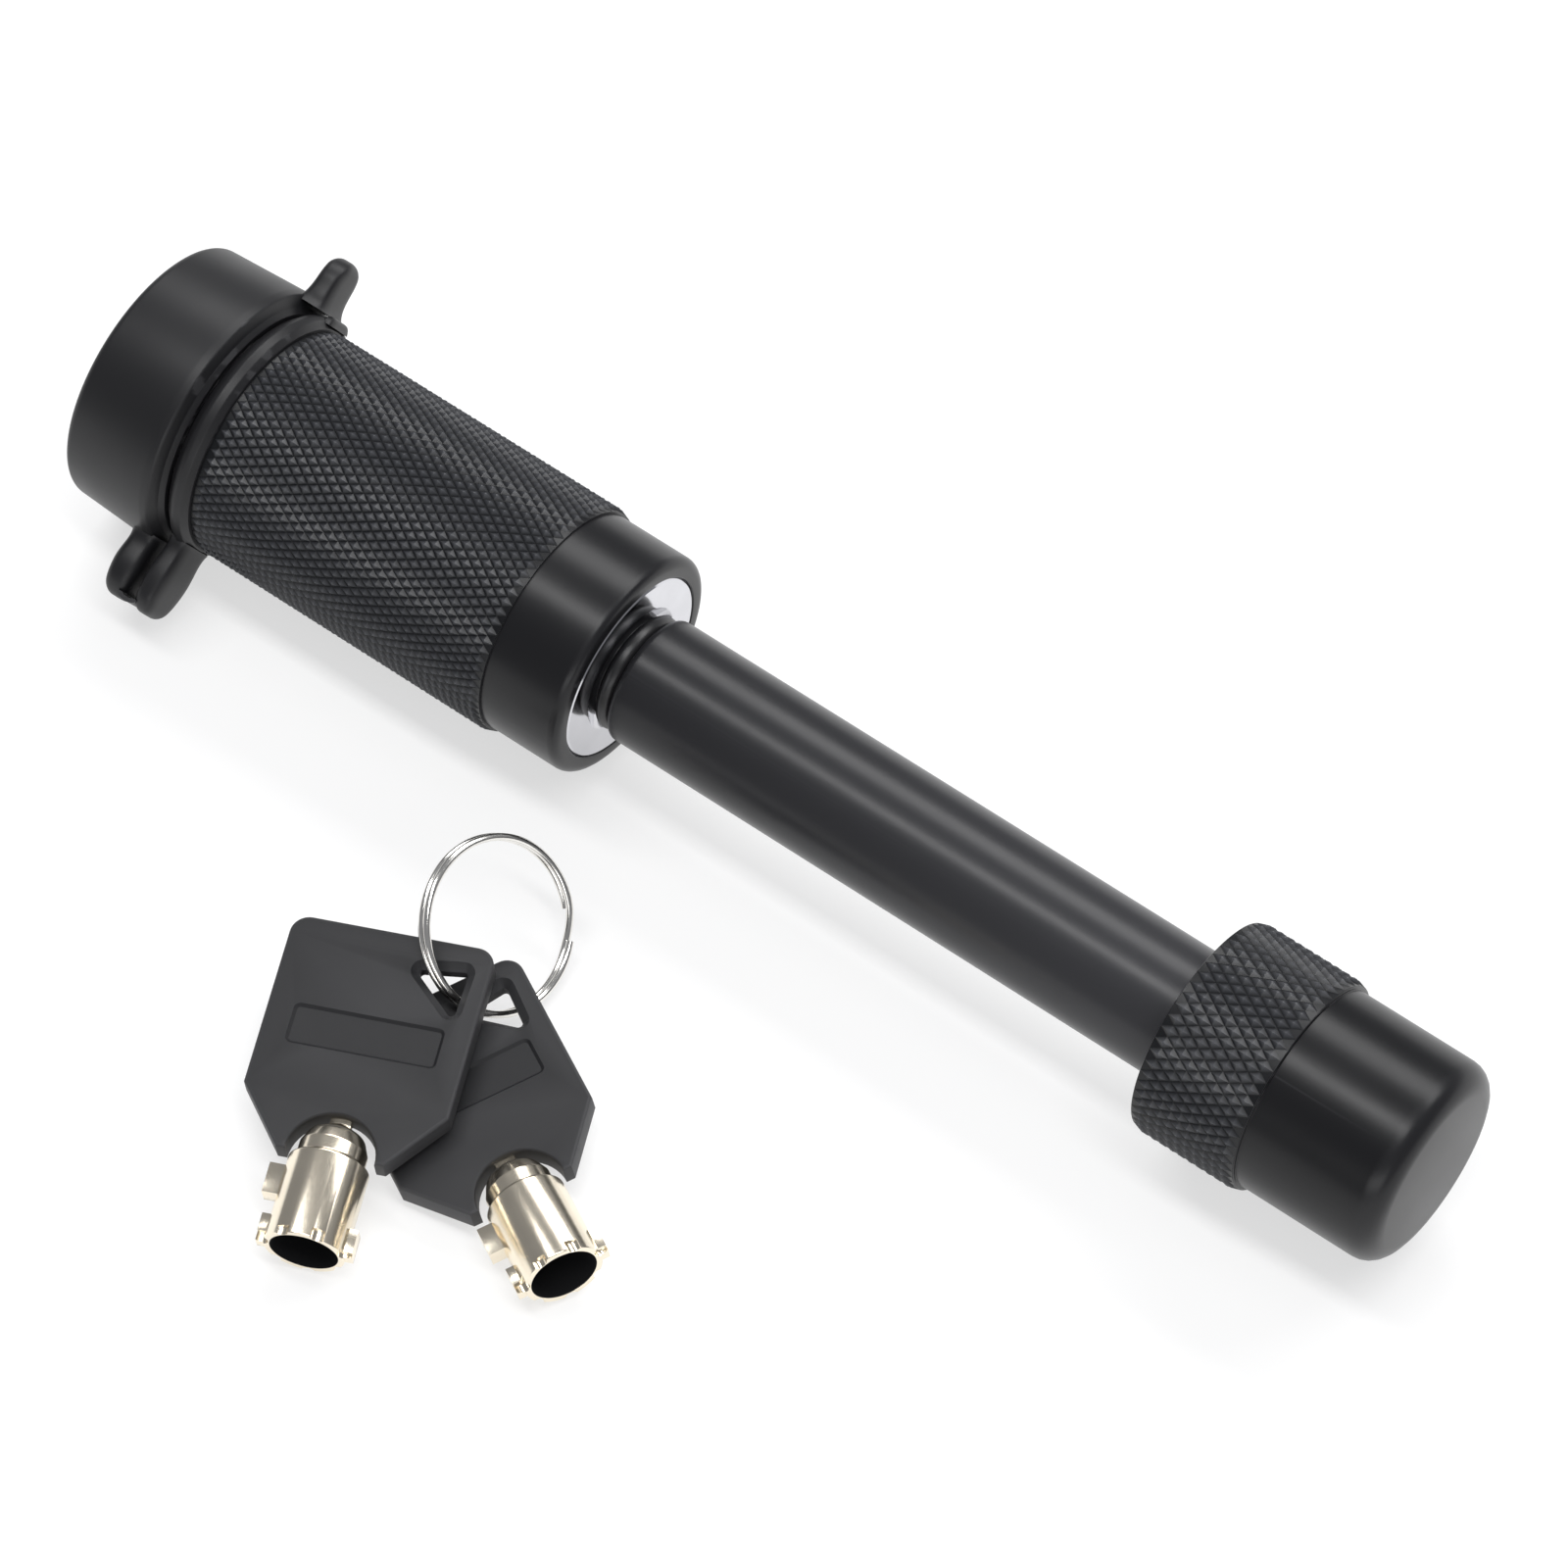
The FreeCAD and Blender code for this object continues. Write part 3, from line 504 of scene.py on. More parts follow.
def turned_mesh(name, corners, closed=True, steps=TURN_STEPS):
    """A turned mesh from outline corners in millimetres."""
    build = bmesh.new()
    lathe(build, in_metres(corners), closed, steps)
    return to_mesh(name, build)


print("sweep tools are ready")

# %% [markdown]
# ## The pin
# The pin is one turned bar: a grooved tail that the balls lock into, a narrow neck, and the full
# shank behind a rounded shoulder. A rubber ring sits on the neck and keeps water out of the head.

# %% Pin and seal
FACE = face / MM
KNOB = knob_start / MM
TAIL = pin_tail / MM
BALL_PLANE = FACE - 14.0
TAIL_R = 6.35
NECK_R = 5.35
NECK_END = FACE + 2.2
SEAL_R = 6.4
SEAL_WIRE_R = 1.0
GROOVE_CENTRE_R = 7.16
GROOVE_R = 2.12
open_angle = math.asin((GROOVE_CENTRE_R - TAIL_R) / GROOVE_R)
groove = [
    (BALL_PLANE - GROOVE_R * math.cos(a), GROOVE_CENTRE_R - GROOVE_R * math.sin(a))
    for a in (open_angle + (math.pi - 2 * open_angle) * step / 14 for step in range(15))
]
pin_outline = [
    (TAIL, 0),
    (TAIL, TAIL_R - 1.0, 0.2),
    (TAIL + 1.0, TAIL_R, 0.3),
    *groove,
    (FACE, TAIL_R, 0.2),
    (FACE, NECK_R, 0.2),
    (NECK_END, NECK_R, 0.2),
    (NECK_END, pin_r / MM, 1.0),
    (KNOB + 0.01, pin_r / MM),
    (KNOB + 0.01, 0),
]
add_piece("pin", turned_mesh("pin", pin_outline, closed=False), coating, "pin",
          ["pin_shaft"])

seal = bmesh.new()
seal_x = (FACE + NECK_END) / 2
seal_circle = [
    Vector(((seal_x + SEAL_WIRE_R * math.cos(a)) * MM, (SEAL_R + SEAL_WIRE_R * math.sin(a)) * MM))
    for a in (2 * math.pi * step / 24 for step in range(24))
]
lathe(seal, seal_circle, closed=True, steps=128)
add_piece("neck_seal", to_mesh("neck_seal", seal), seal_rubber, "pin", ["pin_o_ring"])

# %% [markdown]
# ## Knurling
# A diamond knurl is two sets of V grooves that cross. Displacing a fine grid would need hundreds of
# thousands of points. A lighter way uses the pattern itself: points on a chequerboard round the
# cylinder, low where two grooves cross and high at each pyramid's tip. Every square is split from
# low point to low point, which is exactly where a groove runs. The tips are then cut flat a little,
# as wear and coating leave them.

# %% Knurl tool
def knurl(build, start, end, crest, depth, count, helix_degrees, tip=0.11 * MM):
    """A closed band of pyramids, `count` of them round the cylinder, between two x values."""
    half_step = math.pi * crest / count
    rows = round((end - start) / (half_step / math.tan(math.radians(helix_degrees))))
    columns = 2 * count
    low_r = crest - depth
    grid = []
    tips = []
    for row in range(rows + 1):
        line = []
        for column in range(columns):
            is_tip = (row + column) % 2 == 1
            at_end = row in (0, rows)
            radius = crest if is_tip and not at_end else low_r
            angle = 2 * math.pi * column / columns
            x = start + (end - start) * row / rows
            point = build.verts.new((x, radius * math.sin(angle), radius * math.cos(angle)))
            line.append(point)
            if is_tip and not at_end:
                tips.append(point)
        grid.append(line)
    for row in range(rows):
        for column in range(columns):
            following = (column + 1) % columns
            a, b = grid[row][column], grid[row][following]
            c, d = grid[row + 1][following], grid[row + 1][column]
            if (row + column) % 2 == 0:
                build.faces.new((a, b, c))
                build.faces.new((a, c, d))
            else:
                build.faces.new((a, b, d))
                build.faces.new((b, c, d))
    for line in (grid[0], grid[-1]):
        inner = [build.verts.new((p.co.x, *(0.93 * part for part in p.co.yz))) for p in line]
        for column in range(columns):
            following = (column + 1) % columns
            build.faces.new((line[column], line[following], inner[following], inner[column]))
    bmesh.ops.bevel(build, geom=tips, offset=tip, segments=1, affect="VERTICES", profile=0.5)
    return rows


print("knurl tool is ready")

# %% [markdown]
# ## The lock head's barrel
# The barrel is turned from bar: a plain collar at the face, the long knurled grip, the seat that
# holds the rubber ring, and the nose that the cap covers. It is a turned core with the knurled
# sleeve around it. The bores are part of the core, because they show when the cap is open.

# %% Barrel
KNURL_DEPTH = 0.42 * MM
REAR = barrel_rear / MM
KNURL_END = FACE - 53.0
SEAT_END = KNURL_END - 3.5
COLLAR_END = FACE - 10.7

CORE_R = 14.25
NOSE_R = 14.0
SEAT_R = 13.4
CYLINDER_BORE_R = 9.55
CAGE_BORE_R = 11.9

barrel = bmesh.new()
barrel_outline = in_metres([
    (FACE - 34.0, CYLINDER_BORE_R),
    (FACE - 34.0, CAGE_BORE_R, 0.1),
    (FACE, CAGE_BORE_R, 0.15),
    (FACE, CORE_R, 1.2),
    (KNURL_END, CORE_R, 0.1),
    (KNURL_END, SEAT_R, 0.2),
    (SEAT_END, SEAT_R, 0.2),
    (SEAT_END, NOSE_R, 0.2),
    (REAR, NOSE_R, 0.5),
    (REAR, CYLINDER_BORE_R, 0.2),
    (FACE - 36.0, CYLINDER_BORE_R),
])
lathe(barrel, barrel_outline, closed=True)
barrel_rows = knurl(
    barrel, KNURL_END * MM, COLLAR_END * MM, barrel_crest, KNURL_DEPTH, count=72, helix_degrees=31)
barrel_finish = knurl_coating("barrel_knurl", barrel_crest, KNURL_DEPTH)
barrel_piece = add_piece("barrel", to_mesh("barrel", barrel), coating, "lock_head",
                         ["lock_barrel"], crease=24)
print("knurl rows along the barrel:", barrel_rows)


def finish_knurl(piece, finish, start, end, inner):
    """Give the knurled faces of a piece their own finish."""
    piece.data.materials.append(finish)
    for polygon in piece.data.polygons:
        middle = polygon.center
        if start < middle.x < end and middle.yz.length > inner:
            polygon.material_index = 1


finish_knurl(barrel_piece, barrel_finish, KNURL_END * MM, COLLAR_END * MM, (CORE_R + 0.05) * MM)

# %% [markdown]
# ## The knob
# The knob is pressed on the pin's far end. Half of it is knurled more coarsely than the head, and
# half is plain with a well rounded end. It has the same chequerboard knurl round a turned core.

# %% Knob
KNOB_END = knob_end / MM
KNOB_KNURL_END = KNOB + 14.0
KNOB_KNURL_DEPTH = 0.4 * MM
KNOB_CORE_R = 13.2
KNOB_R = 12.75
knob = bmesh.new()
knob_outline = in_metres([
    (KNOB, 0),
    (KNOB, KNOB_CORE_R, 0.35),
    (KNOB + 0.6, KNOB_CORE_R),
    (KNOB_KNURL_END - 0.5, KNOB_CORE_R),
    (KNOB_KNURL_END, KNOB_CORE_R - 0.05, 0.15),
    (KNOB_KNURL_END, KNOB_R, 0.1),
    (KNOB_END, KNOB_R, 3.0),
    (KNOB_END, 0),
])
lathe(knob, knob_outline, closed=False)
knurl(knob, (KNOB + 0.15) * MM, (KNOB_KNURL_END - 0.1) * MM, knob_crest, KNOB_KNURL_DEPTH, count=57,
      helix_degrees=30, tip=0.13 * MM)
knob_finish = knurl_coating("knob_knurl", knob_crest, KNOB_KNURL_DEPTH)
knob_piece = add_piece("knob", to_mesh("knob", knob), coating, "pin", ["end_knob"],
                       crease=24)
finish_knurl(knob_piece, knob_finish, KNOB * MM, (KNOB_KNURL_END - 0.05) * MM,
             (KNOB_CORE_R + 0.01) * MM)

# %% [markdown]
# ## The rubber cap and its ring
# The cap and its ring are taken to be one moulding, joined by a strap that folds. The ring stays in
# the barrel's seat with a round bead, and the cap's skirt tapers to a soft groove against it. Both
# are turned outlines with generous rounds.

# %% Cap and ring
CAP_REAR = cap_rear / MM
cap_outline = [
    (CAP_REAR, 0),
    (CAP_REAR, 16.6, 1.0),
    (FACE - 58.6, 17.2, 3.0),
    (FACE - 57.6, 17.1, 0.5),
    (FACE - 57.0, 15.7, 0.4),
    (FACE - 56.45, 15.15, 0.15),
    (FACE - 56.4, 14.4, 0.15),
    (FACE - 67.2, 14.4, 0.6),
    (FACE - 67.2, 0),
]
ring_outline = [
    (FACE - 55.0, 13.45),
    (FACE - 56.1, 13.45, 0.2),
    (FACE - 56.1, 14.9, 0.3),
    (FACE - 55.2, 15.75, 0.5),
    (FACE - 54.6, 15.97, 0.6),
    (FACE - 53.75, 15.7, 0.5),
    (FACE - 53.05, 15.0, 0.2),
    (FACE - 53.05, 13.45, 0.2),
]
print("outline corners:", len(cap_outline), "for the cap and", len(ring_outline), "for the ring")

# %% [markdown]
# ## Tab and strap leaves
# The pull tab and the strap's two leaves are flat tongues that grow out of the turned rubber with a
# soft flare. Each is lofted: rounded rectangles stacked away from the axis, wide at the root and
# closing at the tip. The cap's fold is a separate thin web, which stays where it is built.

# %% Tongue tool
def tongue(build, back, front, root, tip, width, flare, way, tip_round, bulge=0.0):
    """A rounded tongue in millimetres that stands out from the axis along `way`."""
    sections, around = 32, 48
    out = Vector(way)
    across = Vector((1, 0, 0)).cross(out)
    middle, half_thick, half_wide = (back + front) / 2, (front - back) / 2, width / 2
    rings = []
    for section in range(sections + 1):
        share = math.sin(math.pi / 2 * section / sections)
        height = root + (tip - root) * share
        swell = flare * math.exp(-(height - root) / 1.1)
        to_tip = max(tip - height, 0.0)
        narrowing = math.sqrt(max(0.0, 1 - (1 - min(to_tip / tip_round, 1)) ** 2))
        thinning = math.sqrt(max(0.0, 1 - (1 - min(to_tip / half_thick, 1)) ** 2))
        wide = (half_wide - tip_round) + tip_round * narrowing + swell
        thick = half_thick * (0.25 + 0.75 * thinning) + 0.6 * swell
        belly = bulge * math.sin(math.pi * (height - root) / (tip - root)) ** 2
        wide += belly
        thick += 0.5 * belly
        if section == sections:
            wide, thick = wide * 0.6, thick * 0.4
        ring = []
        for k in range(around):
            angle = 2 * math.pi * k / around
            x = math.copysign(abs(math.cos(angle)) ** 0.6, math.cos(angle)) * thick
            y = math.copysign(abs(math.sin(angle)) ** 0.45, math.sin(angle)) * wide
            ring.append(build.verts.new(
                (Vector((middle + x, 0, 0)) + out * height + across * y) * MM))
        rings.append(ring)
    for one, two in zip(rings, rings[1:]):
        for k in range(around):
            after = (k + 1) % around
            build.faces.new((one[k], one[after], two[after], two[k]))
    build.faces.new(rings[0])
    build.faces.new(rings[-1])


tab_way = -strap_way
print("the tab stands towards", [round(part, 3) for part in tab_way])

# %% [markdown]
# ## The cap
# The turned cap, its pull tab and its leaf of the strap are one piece of rubber, so they share one
# mesh. They ride on the cap and swing open with it.

# %% Cap with its tab and leaf
cap = bmesh.new()
lathe(cap, in_metres(cap_outline), closed=False)
tongue(cap, back=FACE - 58.1, front=FACE - 55.1, root=16.12, tip=22.75, width=6.4, flare=1.1,
       way=tab_way, tip_round=3.1)
tongue(cap, back=FACE - 60.5, front=FACE - 57.35, root=16.4, tip=24.85, width=6.6, flare=0.9,
       way=strap_way, tip_round=2.4, bulge=0.7)
add_piece("dust_cover", to_mesh("dust_cover", cap), cap_rubber, "cap", ["dust_cap"])

# %% [markdown]
# ## The ring
# The ring grips its seat on the barrel and never moves, so it rides on the head with its own leaf.
# A low hump on the bead meets the root of the tab, and a thumb finds the tab there.

# %% Ring with its leaf
ring = bmesh.new()
lathe(ring, in_metres(ring_outline), closed=True)
tongue(ring, back=FACE - 56.0, front=FACE - 53.4, root=15.2, tip=24.85, width=7.0, flare=0.45,
       way=strap_way, tip_round=2.6, bulge=0.5)
tongue(ring, back=FACE - 54.2, front=FACE - 53.2, root=15.2, tip=16.25, width=5.4, flare=0.6,
       way=tab_way, tip_round=1.0)
add_piece("cover_ring", to_mesh("cover_ring", ring), cap_rubber, "lock_head",
          ["cap_ring"])

# %% [markdown]
# ## The fold of the strap
# The strap bends back on itself at its outer end. That fold crosses the joint between the ring and
# the cap, so it is one thin web of its own, which rides on neither and stays where it is built.

# %% Strap fold
fold = bmesh.new()
fold_across = Vector((1, 0, 0)).cross(strap_way)
FOLD_STEPS = 16
FOLD_HALF_WIDTH = 3.0
fold_x, fold_r = hinge.x / MM, hinge.yz.length / MM
strips = []
for step in range(FOLD_STEPS + 1):
    angle = math.pi * step / FOLD_STEPS
    strip = []
    for radius_x, radius_out in ((1.35, 0.75), (0.75, 0.2)):
        for side in (-1, 1):
            point = Vector((fold_x + radius_x * math.cos(angle), 0, 0))
            point += strap_way * (fold_r - 0.1 + radius_out * math.sin(angle))
            point += fold_across * (side * FOLD_HALF_WIDTH)
            strip.append(fold.verts.new(point * MM))
    strips.append([strip[0], strip[1], strip[3], strip[2]])
for one, two in zip(strips, strips[1:]):
    for k in range(4):
        after = (k + 1) % 4
        fold.faces.new((one[k], one[after], two[after], two[k]))
fold.faces.new(strips[0])
fold.faces.new(strips[-1])
fold_piece = add_piece("strap_fold", to_mesh("strap_fold", fold), cap_rubber, None)
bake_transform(fold_piece)

# %% [markdown]
# ## Cutting with other shapes
# The keys have holes, a recess and notches. Those are cuts, and Blender's Boolean modifier makes
# them from simple cutters. The modifier is applied at once and the cutters are removed, so that
# only the finished mesh stays.

# %% Boolean tools
def temporary(mesh):
    """An object that exists only while a shape is being cut."""
    thing = bpy.data.objects.new("temporary", mesh)
    scene.collection.objects.link(thing)
    return thing


def combined(mesh, others, operation):
    """A mesh joined with or cut by other meshes."""
    target = temporary(mesh)
    tools = [temporary(other) for other in others]
    for tool in tools:
        step = target.modifiers.new("step", "BOOLEAN")
        step.operation = operation
        step.solver = "EXACT"
        step.object = tool
    bpy.context.view_layer.update()
    graph = bpy.context.evaluated_depsgraph_get()
    result = bpy.data.meshes.new_from_object(target.evaluated_get(graph))
    for thing in [target, *tools]:
        bpy.data.objects.remove(thing)
    return result


def softened(mesh, width):
    """Small rounds on the hard edges of a cut mesh."""
    thing = temporary(mesh)
    bevel = thing.modifiers.new("edges", "BEVEL")
    bevel.width = width
    bevel.segments = 2
    bevel.limit_method = "ANGLE"
    bevel.angle_limit = math.radians(40)
    bevel.use_clamp_overlap = True
    bpy.context.view_layer.update()
    graph = bpy.context.evaluated_depsgraph_get()
    result = bpy.data.meshes.new_from_object(thing.evaluated_get(graph))
    bpy.data.objects.remove(thing)
    return result


print("cutting tools are ready")

# %% [markdown]
# ## Flat outlines
# A cutter often starts as a flat outline with rounded corners, pulled up into a straight prism.

# %% Outline tools
def prism(corners, low, high):
    """A straight prism in millimetres on flat corners, from one z to another."""
    build = bmesh.new()
    bottom = [build.verts.new((x * MM, y * MM, low * MM)) for x, y in corners]
    base = build.faces.new(bottom)
    raised = bmesh.ops.extrude_face_region(build, geom=[base])
    top = [item for item in raised["geom"] if isinstance(item, bmesh.types.BMVert)]
    bmesh.ops.translate(build, verts=top, vec=(0, 0, (high - low) * MM))
    return to_mesh("prism", build)


def round_corners(corners, radius, steps=6):
    """A closed flat outline with the same round at each corner."""
    points = []
    count = len(corners)
    for i, corner in enumerate(corners):
        here = Vector(corner)
        before = (Vector(corners[i - 1]) - here).normalized()
        after = (Vector(corners[(i + 1) % count]) - here).normalized()
        half_angle = before.angle(after) / 2
        reach = radius / math.tan(half_angle)
        centre = here + (before + after).normalized() * radius / math.sin(half_angle)
        first = (here + before * reach - centre).normalized()
        last = (here + after * reach - centre).normalized()
        for step in range(steps + 1):
            points.append(tuple(centre + first.slerp(last, step / steps) * radius))
    return points


print("outline tools are ready")

# %% [markdown]
# ## The keys' grips
# Each grip is a flat moulding with sloping shoulders, a round notch where the steel tube comes out,
# a blank recess where a number would go, and a three-sided hole for the ring. The plate comes first,
# and the hole and the recess are cut afterwards.

# %% Key grip
KEY_HALF_WIDTH = 12.0
KEY_TOP = 20.6
KEY_SHOULDER = -1.1
KEY_FOOT = -8.3
FOOT_HALF_WIDTH = 6.3
KEY_THICK = 3.0
KEY_EDGE = 0.4
NOTCH_R = 5.2
RING_HOLE = ((3.2, 16.8), (9.4, 17.6), (9.1, 11.2))
LABEL = ((-8.5, 9.3), (8.5, 9.3), (8.5, 4.9), (-8.5, 4.9))


def grip_outline():
    """The grip's outline, counter-clockwise in millimetres."""
    corner = 2.2
    points = [(KEY_HALF_WIDTH, KEY_SHOULDER)]
    for centre_x, first in ((KEY_HALF_WIDTH - corner, 0), (corner - KEY_HALF_WIDTH, 90)):
        for step in range(9):
            angle = math.radians(first + 90 * step / 8)
            points.append((
                centre_x + corner * math.cos(angle),
                KEY_TOP - corner + corner * math.sin(angle),
            ))
    points.append((-KEY_HALF_WIDTH, KEY_SHOULDER))
    points.append((-FOOT_HALF_WIDTH, KEY_FOOT))
    for step in range(25):
        angle = math.pi * (1 - step / 24)
        points.append((NOTCH_R * math.cos(angle), KEY_FOOT + NOTCH_R * math.sin(angle)))
    points.append((FOOT_HALF_WIDTH, KEY_FOOT))
    return points


print("the grip's outline has", len(grip_outline()), "points")

# %% [markdown]
# ## A plate and a sloping cutter
# A filled flat curve with a bevel gives a plate whose rim is round. A stacked cutter has one outline
# at several heights, each grown by its own amount, and so it cuts a hole with a wide bevel.

# %% Plate tools
def flat_plate(loops, thickness, edge):
    """A plate with round edges, from a filled flat curve."""
    curve = bpy.data.curves.new("plate", "CURVE")
    curve.dimensions = "2D"
    curve.fill_mode = "BOTH"
    curve.extrude = (thickness / 2 - edge) * MM
    curve.bevel_depth = edge * MM
    curve.bevel_resolution = 3
    curve.offset = -edge * MM
    for loop in loops:
        spline = curve.splines.new("POLY")
        spline.points.add(len(loop) - 1)
        for point, (x, y) in zip(spline.points, loop):
            point.co = (x * MM, y * MM, 0, 1)
        spline.use_cyclic_u = True
    thing = temporary(curve)
    mesh = bpy.data.meshes.new_from_object(thing)
    bpy.data.objects.remove(thing)
    build = bmesh.new()
    build.from_mesh(mesh)
    bmesh.ops.remove_doubles(build, verts=build.verts, dist=0.002 * MM)
    return to_mesh("plate", build)


def grown(corners, by):
    """The same corners with every side moved outward."""
    moved = []
    count = len(corners)
    for i, corner in enumerate(corners):
        here = Vector(corner)
        before = (Vector(corners[i - 1]) - here).normalized()
        after = (Vector(corners[(i + 1) % count]) - here).normalized()
        half_angle = before.angle(after) / 2
        moved.append(tuple(here - (before + after).normalized() * by / math.sin(half_angle)))
    return moved


def stacked_cutter(corners, radius, levels):
    """A cutter through (z, growth) levels, so that its sides can slope."""
    build = bmesh.new()
    loops = []
    for z, by in levels:
        outline = round_corners(grown(corners, by), radius + by)
        loops.append([build.verts.new((x * MM, y * MM, z * MM)) for x, y in outline])
    for one, two in zip(loops, loops[1:]):
        for k in range(len(one)):
            after = (k + 1) % len(one)
            build.faces.new((one[k], one[after], two[after], two[k]))
    build.faces.new(loops[0])
    build.faces.new(loops[-1])
    return to_mesh("stacked_cutter", build)


print("plate tools are ready")

# %% [markdown]
# ## One grip
# The ring's hole is bevelled on both faces, so that the wire can lie at a slant without rubbing. The
# recess for a number has sloping sides that catch the light, and it stays blank.

# %% Grip
HOLE_ROUND = 0.5
HOLE_BEVEL = 0.9
RECESS_DEPTH = 0.3
half_thick = KEY_THICK / 2
grip_mesh = flat_plate([grip_outline()], KEY_THICK, KEY_EDGE)
ring_hole = stacked_cutter(RING_HOLE, HOLE_ROUND, [
    (-half_thick - 0.2, HOLE_BEVEL + 0.2),
    (HOLE_BEVEL - half_thick, 0),
    (half_thick - HOLE_BEVEL, 0),
    (half_thick + 0.2, HOLE_BEVEL + 0.2),
])
recess = stacked_cutter(LABEL, 0.4, [
    (half_thick - RECESS_DEPTH, 0),
    (half_thick + 0.1, 1.2 * (RECESS_DEPTH + 0.1)),
])
grip_mesh = combined(grip_mesh, [recess, ring_hole], "DIFFERENCE")
print("grip size in mm:", [round(1000 * (max(v.co[i] for v in grip_mesh.vertices)
                                         - min(v.co[i] for v in grip_mesh.vertices)), 2)
                           for i in range(3)])

# %% [markdown]
# ## The keys' tubes
# A tubular key is a short piece of tube. Its open end has seven rounded cuts of different depth, one
# for each pin in the lock, and two lugs that guide it. A third lug sits further back, and the closed
# end is drawn in to a waist and a dome that disappears into the grip's notch. A flat tang, which
# the plastic was moulded around, holds the tube in the grip.

# %% Key tube
TUBE_TIP = -19.8
TUBE_R = 4.72
BORE_R = 3.95
BORE_START = 11.3
CUT_R = 0.9
CUT_STEPS = (2, 0, 3, 1, 4, 2, 1)
tube_corners = [
    (11.0, 0),
    (BORE_START, 3.2, 0.4),
    (BORE_START, BORE_R, 0.3),
    (-TUBE_TIP, BORE_R, 0.12),
    (-TUBE_TIP, TUBE_R, 0.15),
    (9.0, TUBE_R, 0.3),
    (8.6, 4.0, 0.3),
    (6.9, 3.95, 0.5),
    (5.2, 3.2, 1.5),
    (3.7, 0.5, 0.3),
    (3.7, 0),
]
tube_mesh = turned_mesh("tube", tube_corners, closed=False, steps=96)
tube_mesh.transform(Matrix.Rotation(math.radians(-90), 4, "Z"))
print("tube blank:", len(tube_mesh.vertices), "points")

# %% [markdown]
# ## Lugs, cuts and bore
# The lugs and the tang are joined to the blank, then the bore and the seven cuts are taken out. The
# cuts' depths are made up. Hard edges get a small round last, and the bore gets its own finish.

# %% Cutting the tube
def box_between(low, high):
    """A box between two corners in millimetres."""
    corners = [(low[0], low[1]), (high[0], low[1]), (high[0], high[1]), (low[0], high[1])]
    return prism(corners, low[2], high[2])


def tube_cut(number, steps):
    """The cutter for one pin's cut in the key's rim."""
    depth = 0.6 + 0.3 * steps
    corners = [
        (CUT_R * math.cos(a), CUT_R * math.sin(a))
        for a in (2 * math.pi * k / 32 for k in range(32))
    ]
    cutter = prism(corners, -depth, 2.0)
    cutter.transform(
        Matrix.Rotation(math.radians(360 / 7 * (number + 0.5)), 4, "Y")
        @ Matrix.Translation((0, TUBE_TIP * MM, (TUBE_R + 0.3) * MM))
        @ Matrix.Rotation(math.radians(90), 4, "X"))
    return cutter


lugs = [
    box_between((3.9, -19.6, -1.0), (5.6, -16.4, 1.0)),
    box_between((-5.6, -19.6, -1.0), (-3.9, -16.4, 1.0)),
    box_between((-6.4, -13.9, -1.1), (-3.9, -10.2, 1.1)),
    box_between((-1.2, -5.0, -0.6), (1.2, -2.8, 0.6)),
    box_between((-3.0, -2.9, -0.6), (3.0, 6.0, 0.6)),
]
tube_mesh = combined(tube_mesh, lugs, "UNION")
bore_corners = [(BORE_START, 0), (BORE_START, 3.9), (21.0, 3.9), (21.0, 0)]
bore = turned_mesh("bore", bore_corners, closed=False, steps=96)
bore.transform(Matrix.Rotation(math.radians(-90), 4, "Z"))
cutters = [bore] + [tube_cut(number, steps) for number, steps in enumerate(CUT_STEPS)]
tube_mesh = combined(tube_mesh, cutters, "DIFFERENCE")
tube_mesh = softened(tube_mesh, 0.07 * MM)
tube_mesh.materials.clear()
tube_mesh.materials.append(nickel)
tube_mesh.materials.append(bore_painted_shade)
# Faces down the bore get the painted shade finish.
for polygon in tube_mesh.polygons:
    middle = polygon.center
    in_bore = math.hypot(middle.x, middle.z) < (BORE_R + 0.03) * MM and middle.y < -11.2 * MM
    polygon.material_index = 1 if in_bore else 0
print("tube faces down the bore:", sum(polygon.material_index for polygon in tube_mesh.polygons))

# %% [markdown]
# ## Laying the keys down
# Both keys are one drawing, laid twice. Each pose is a place for the drawing's origin, a heading, a
# tilt and a roll, the same as the solids have. The box of each CAD node shows how well it lands.

# %% Keys in place
KEY_POSES = {
    "key_1": ((-34.17, -59.76, 7.07), (113.0, 5.4, 3.0)),
    "key_2": ((-18.69, -53.43, 4.38), (151.4, -3.1, 8.3)),
}


def key_pose(place, turn):
    """The matrix that lays a key from its own drawing."""
    heading, tilt, roll = (math.radians(angle) for angle in turn)
    move = Matrix.Translation((place[0] * MM, place[1] * MM, ground + place[2] * MM))
    spin = Matrix.Rotation(heading - math.pi / 2, 4, "Z")
    return move @ spin @ Matrix.Rotation(tilt, 4, "X") @ Matrix.Rotation(-roll, 4, "Y")


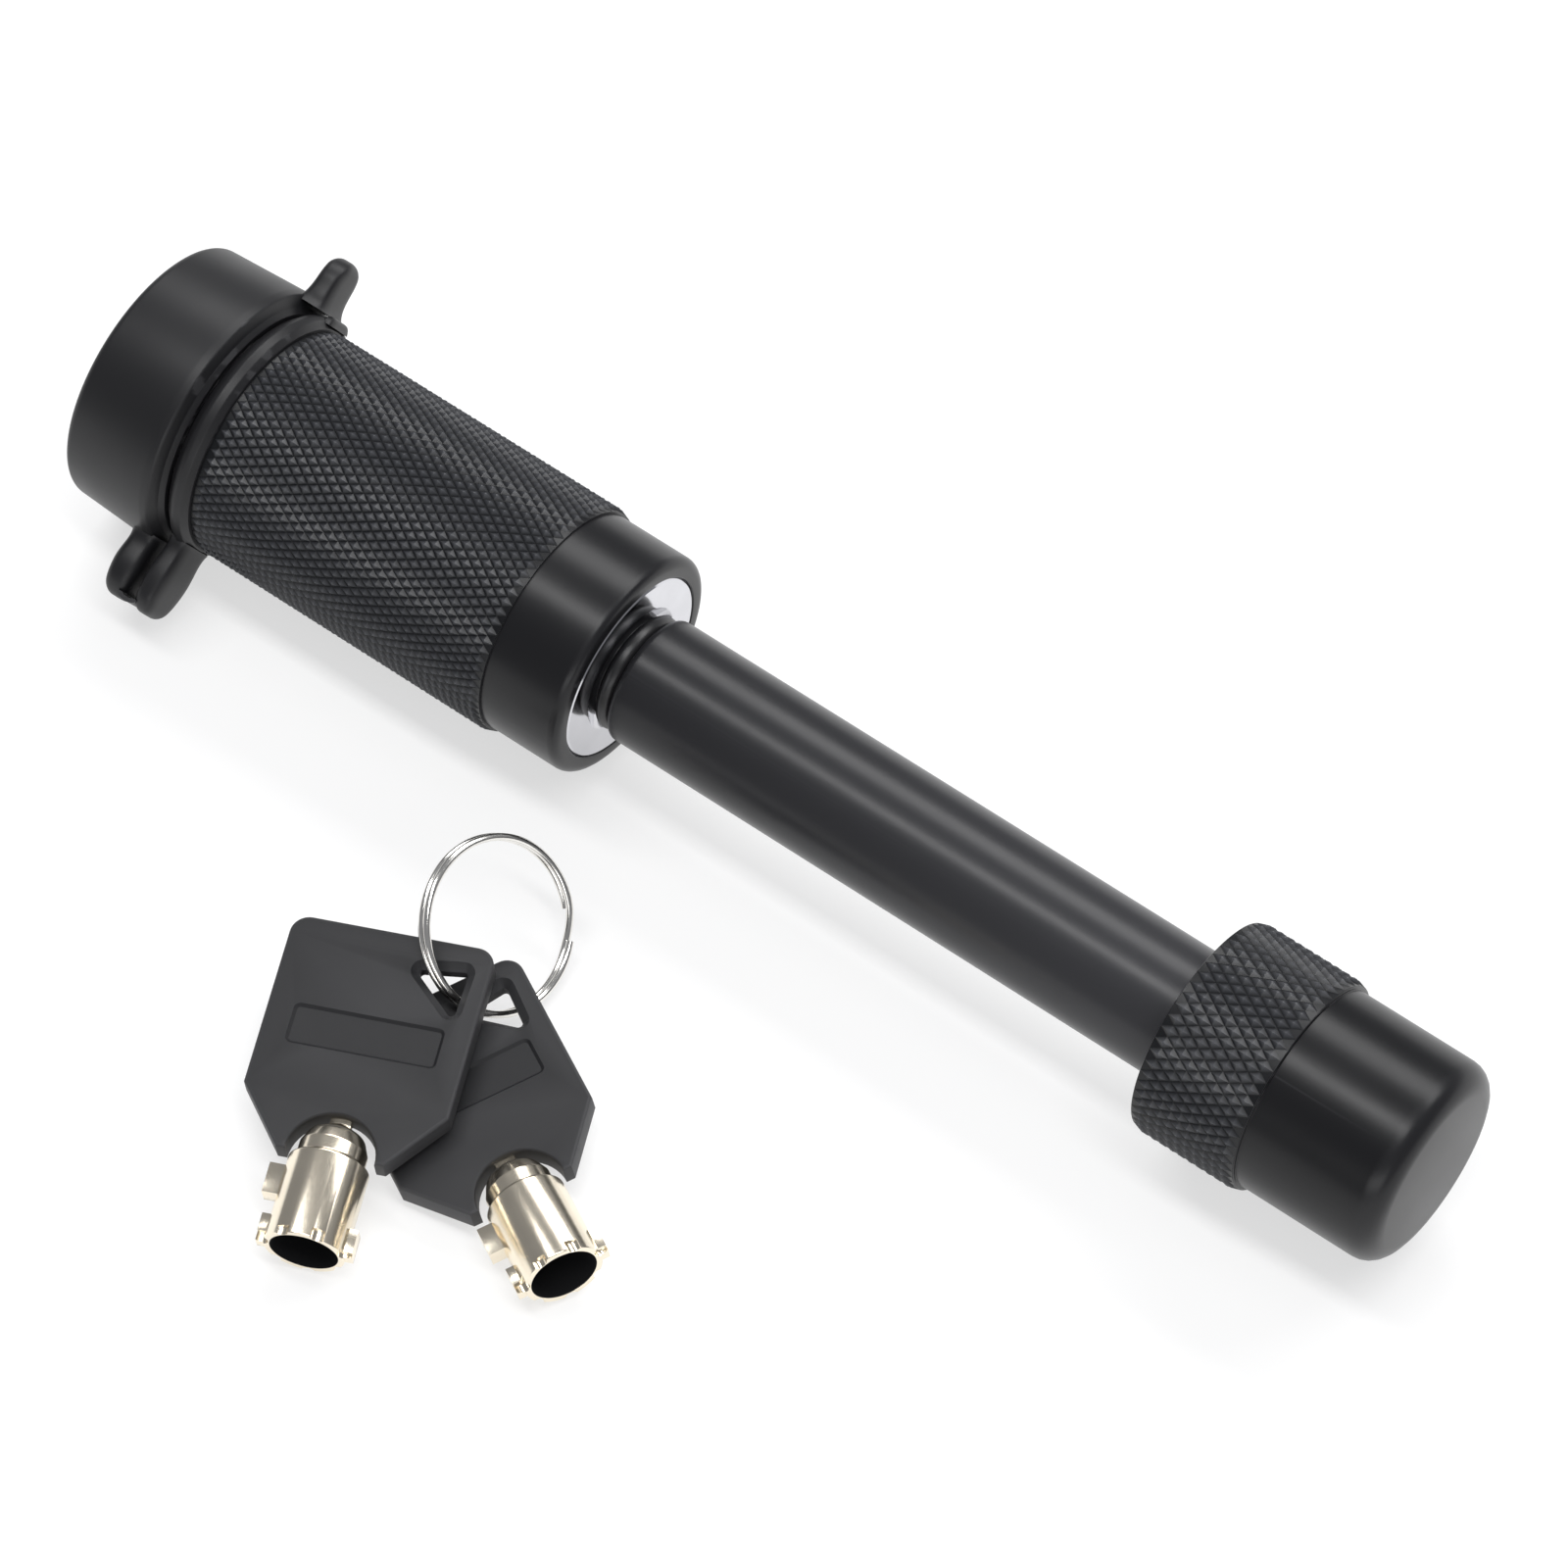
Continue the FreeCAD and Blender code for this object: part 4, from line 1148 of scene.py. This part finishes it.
for key, (place, turn) in KEY_POSES.items():
    pose = key_pose(place, turn)
    for part, drawing, finish, slot, crease in (
        ("head", grip_mesh, grip_plastic, "grip_plastic", 15),
        ("tube", tube_mesh, nickel, "nickel", 30),
    ):
        mesh = drawing.copy()
        mesh.transform(pose)
        node = key + "_" + part
        piece = add_piece(key + ("_grip" if part == "head" else "_barrel"), mesh, finish, key,
                          [node], crease)
        low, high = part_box(node)
        centre = sum((Vector(corner) for corner in piece.bound_box), Vector()) / 8
        print(node, "centre is off by", round(1000 * (centre - (low + high) / 2).length, 2), "mm")

# %% [markdown]
# ## The split ring
# A split ring is one wire wound twice. Each end lies flat against the other turn, and the wire
# steps from one side to the other over a short stretch. A curve with a round section follows that
# path, and is turned into a mesh.

# %% Split ring
RING_R = 10.1 * MM
WIRE_R = 0.45 * MM
HALF_SPACING = 0.45 * MM
ring_low, ring_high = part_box("key_ring")
ring_centre = (ring_low + ring_high) / 2
ring_normal = Vector((0.75, 0.013, 0.662)).normalized()
ring_side = ring_normal.cross(Vector((0, 0, 1))).normalized()
ring_rise = ring_normal.cross(ring_side)
STEP_SHARE = 0.05

wire_curve = bpy.data.curves.new("split_ring", "CURVE")
wire_curve.dimensions = "3D"
wire_curve.bevel_depth = WIRE_R
wire_curve.bevel_resolution = 6
wire_curve.use_fill_caps = True
WIRE_POINTS = 361
spline = wire_curve.splines.new("POLY")
spline.points.add(WIRE_POINTS - 1)
for number, point in enumerate(spline.points):
    turns = 0.03 + 1.94 * number / (WIRE_POINTS - 1)
    crossing = min(max((turns - 1) / STEP_SHARE / 2 + 0.5, 0.0), 1.0)
    shift = HALF_SPACING * (2 * crossing * crossing * (3 - 2 * crossing) - 1)
    angle = 2 * math.pi * turns + 2.4
    position = ring_centre + ring_normal * shift
    position += (ring_side * math.cos(angle) + ring_rise * math.sin(angle)) * RING_R
    point.co = (*position, 1)
wire_thing = temporary(wire_curve)
wire_mesh = bpy.data.meshes.new_from_object(wire_thing)
bpy.data.objects.remove(wire_thing)
add_piece("split_ring", wire_mesh, ring_wire, "ring", ["key_ring"], crease=60)
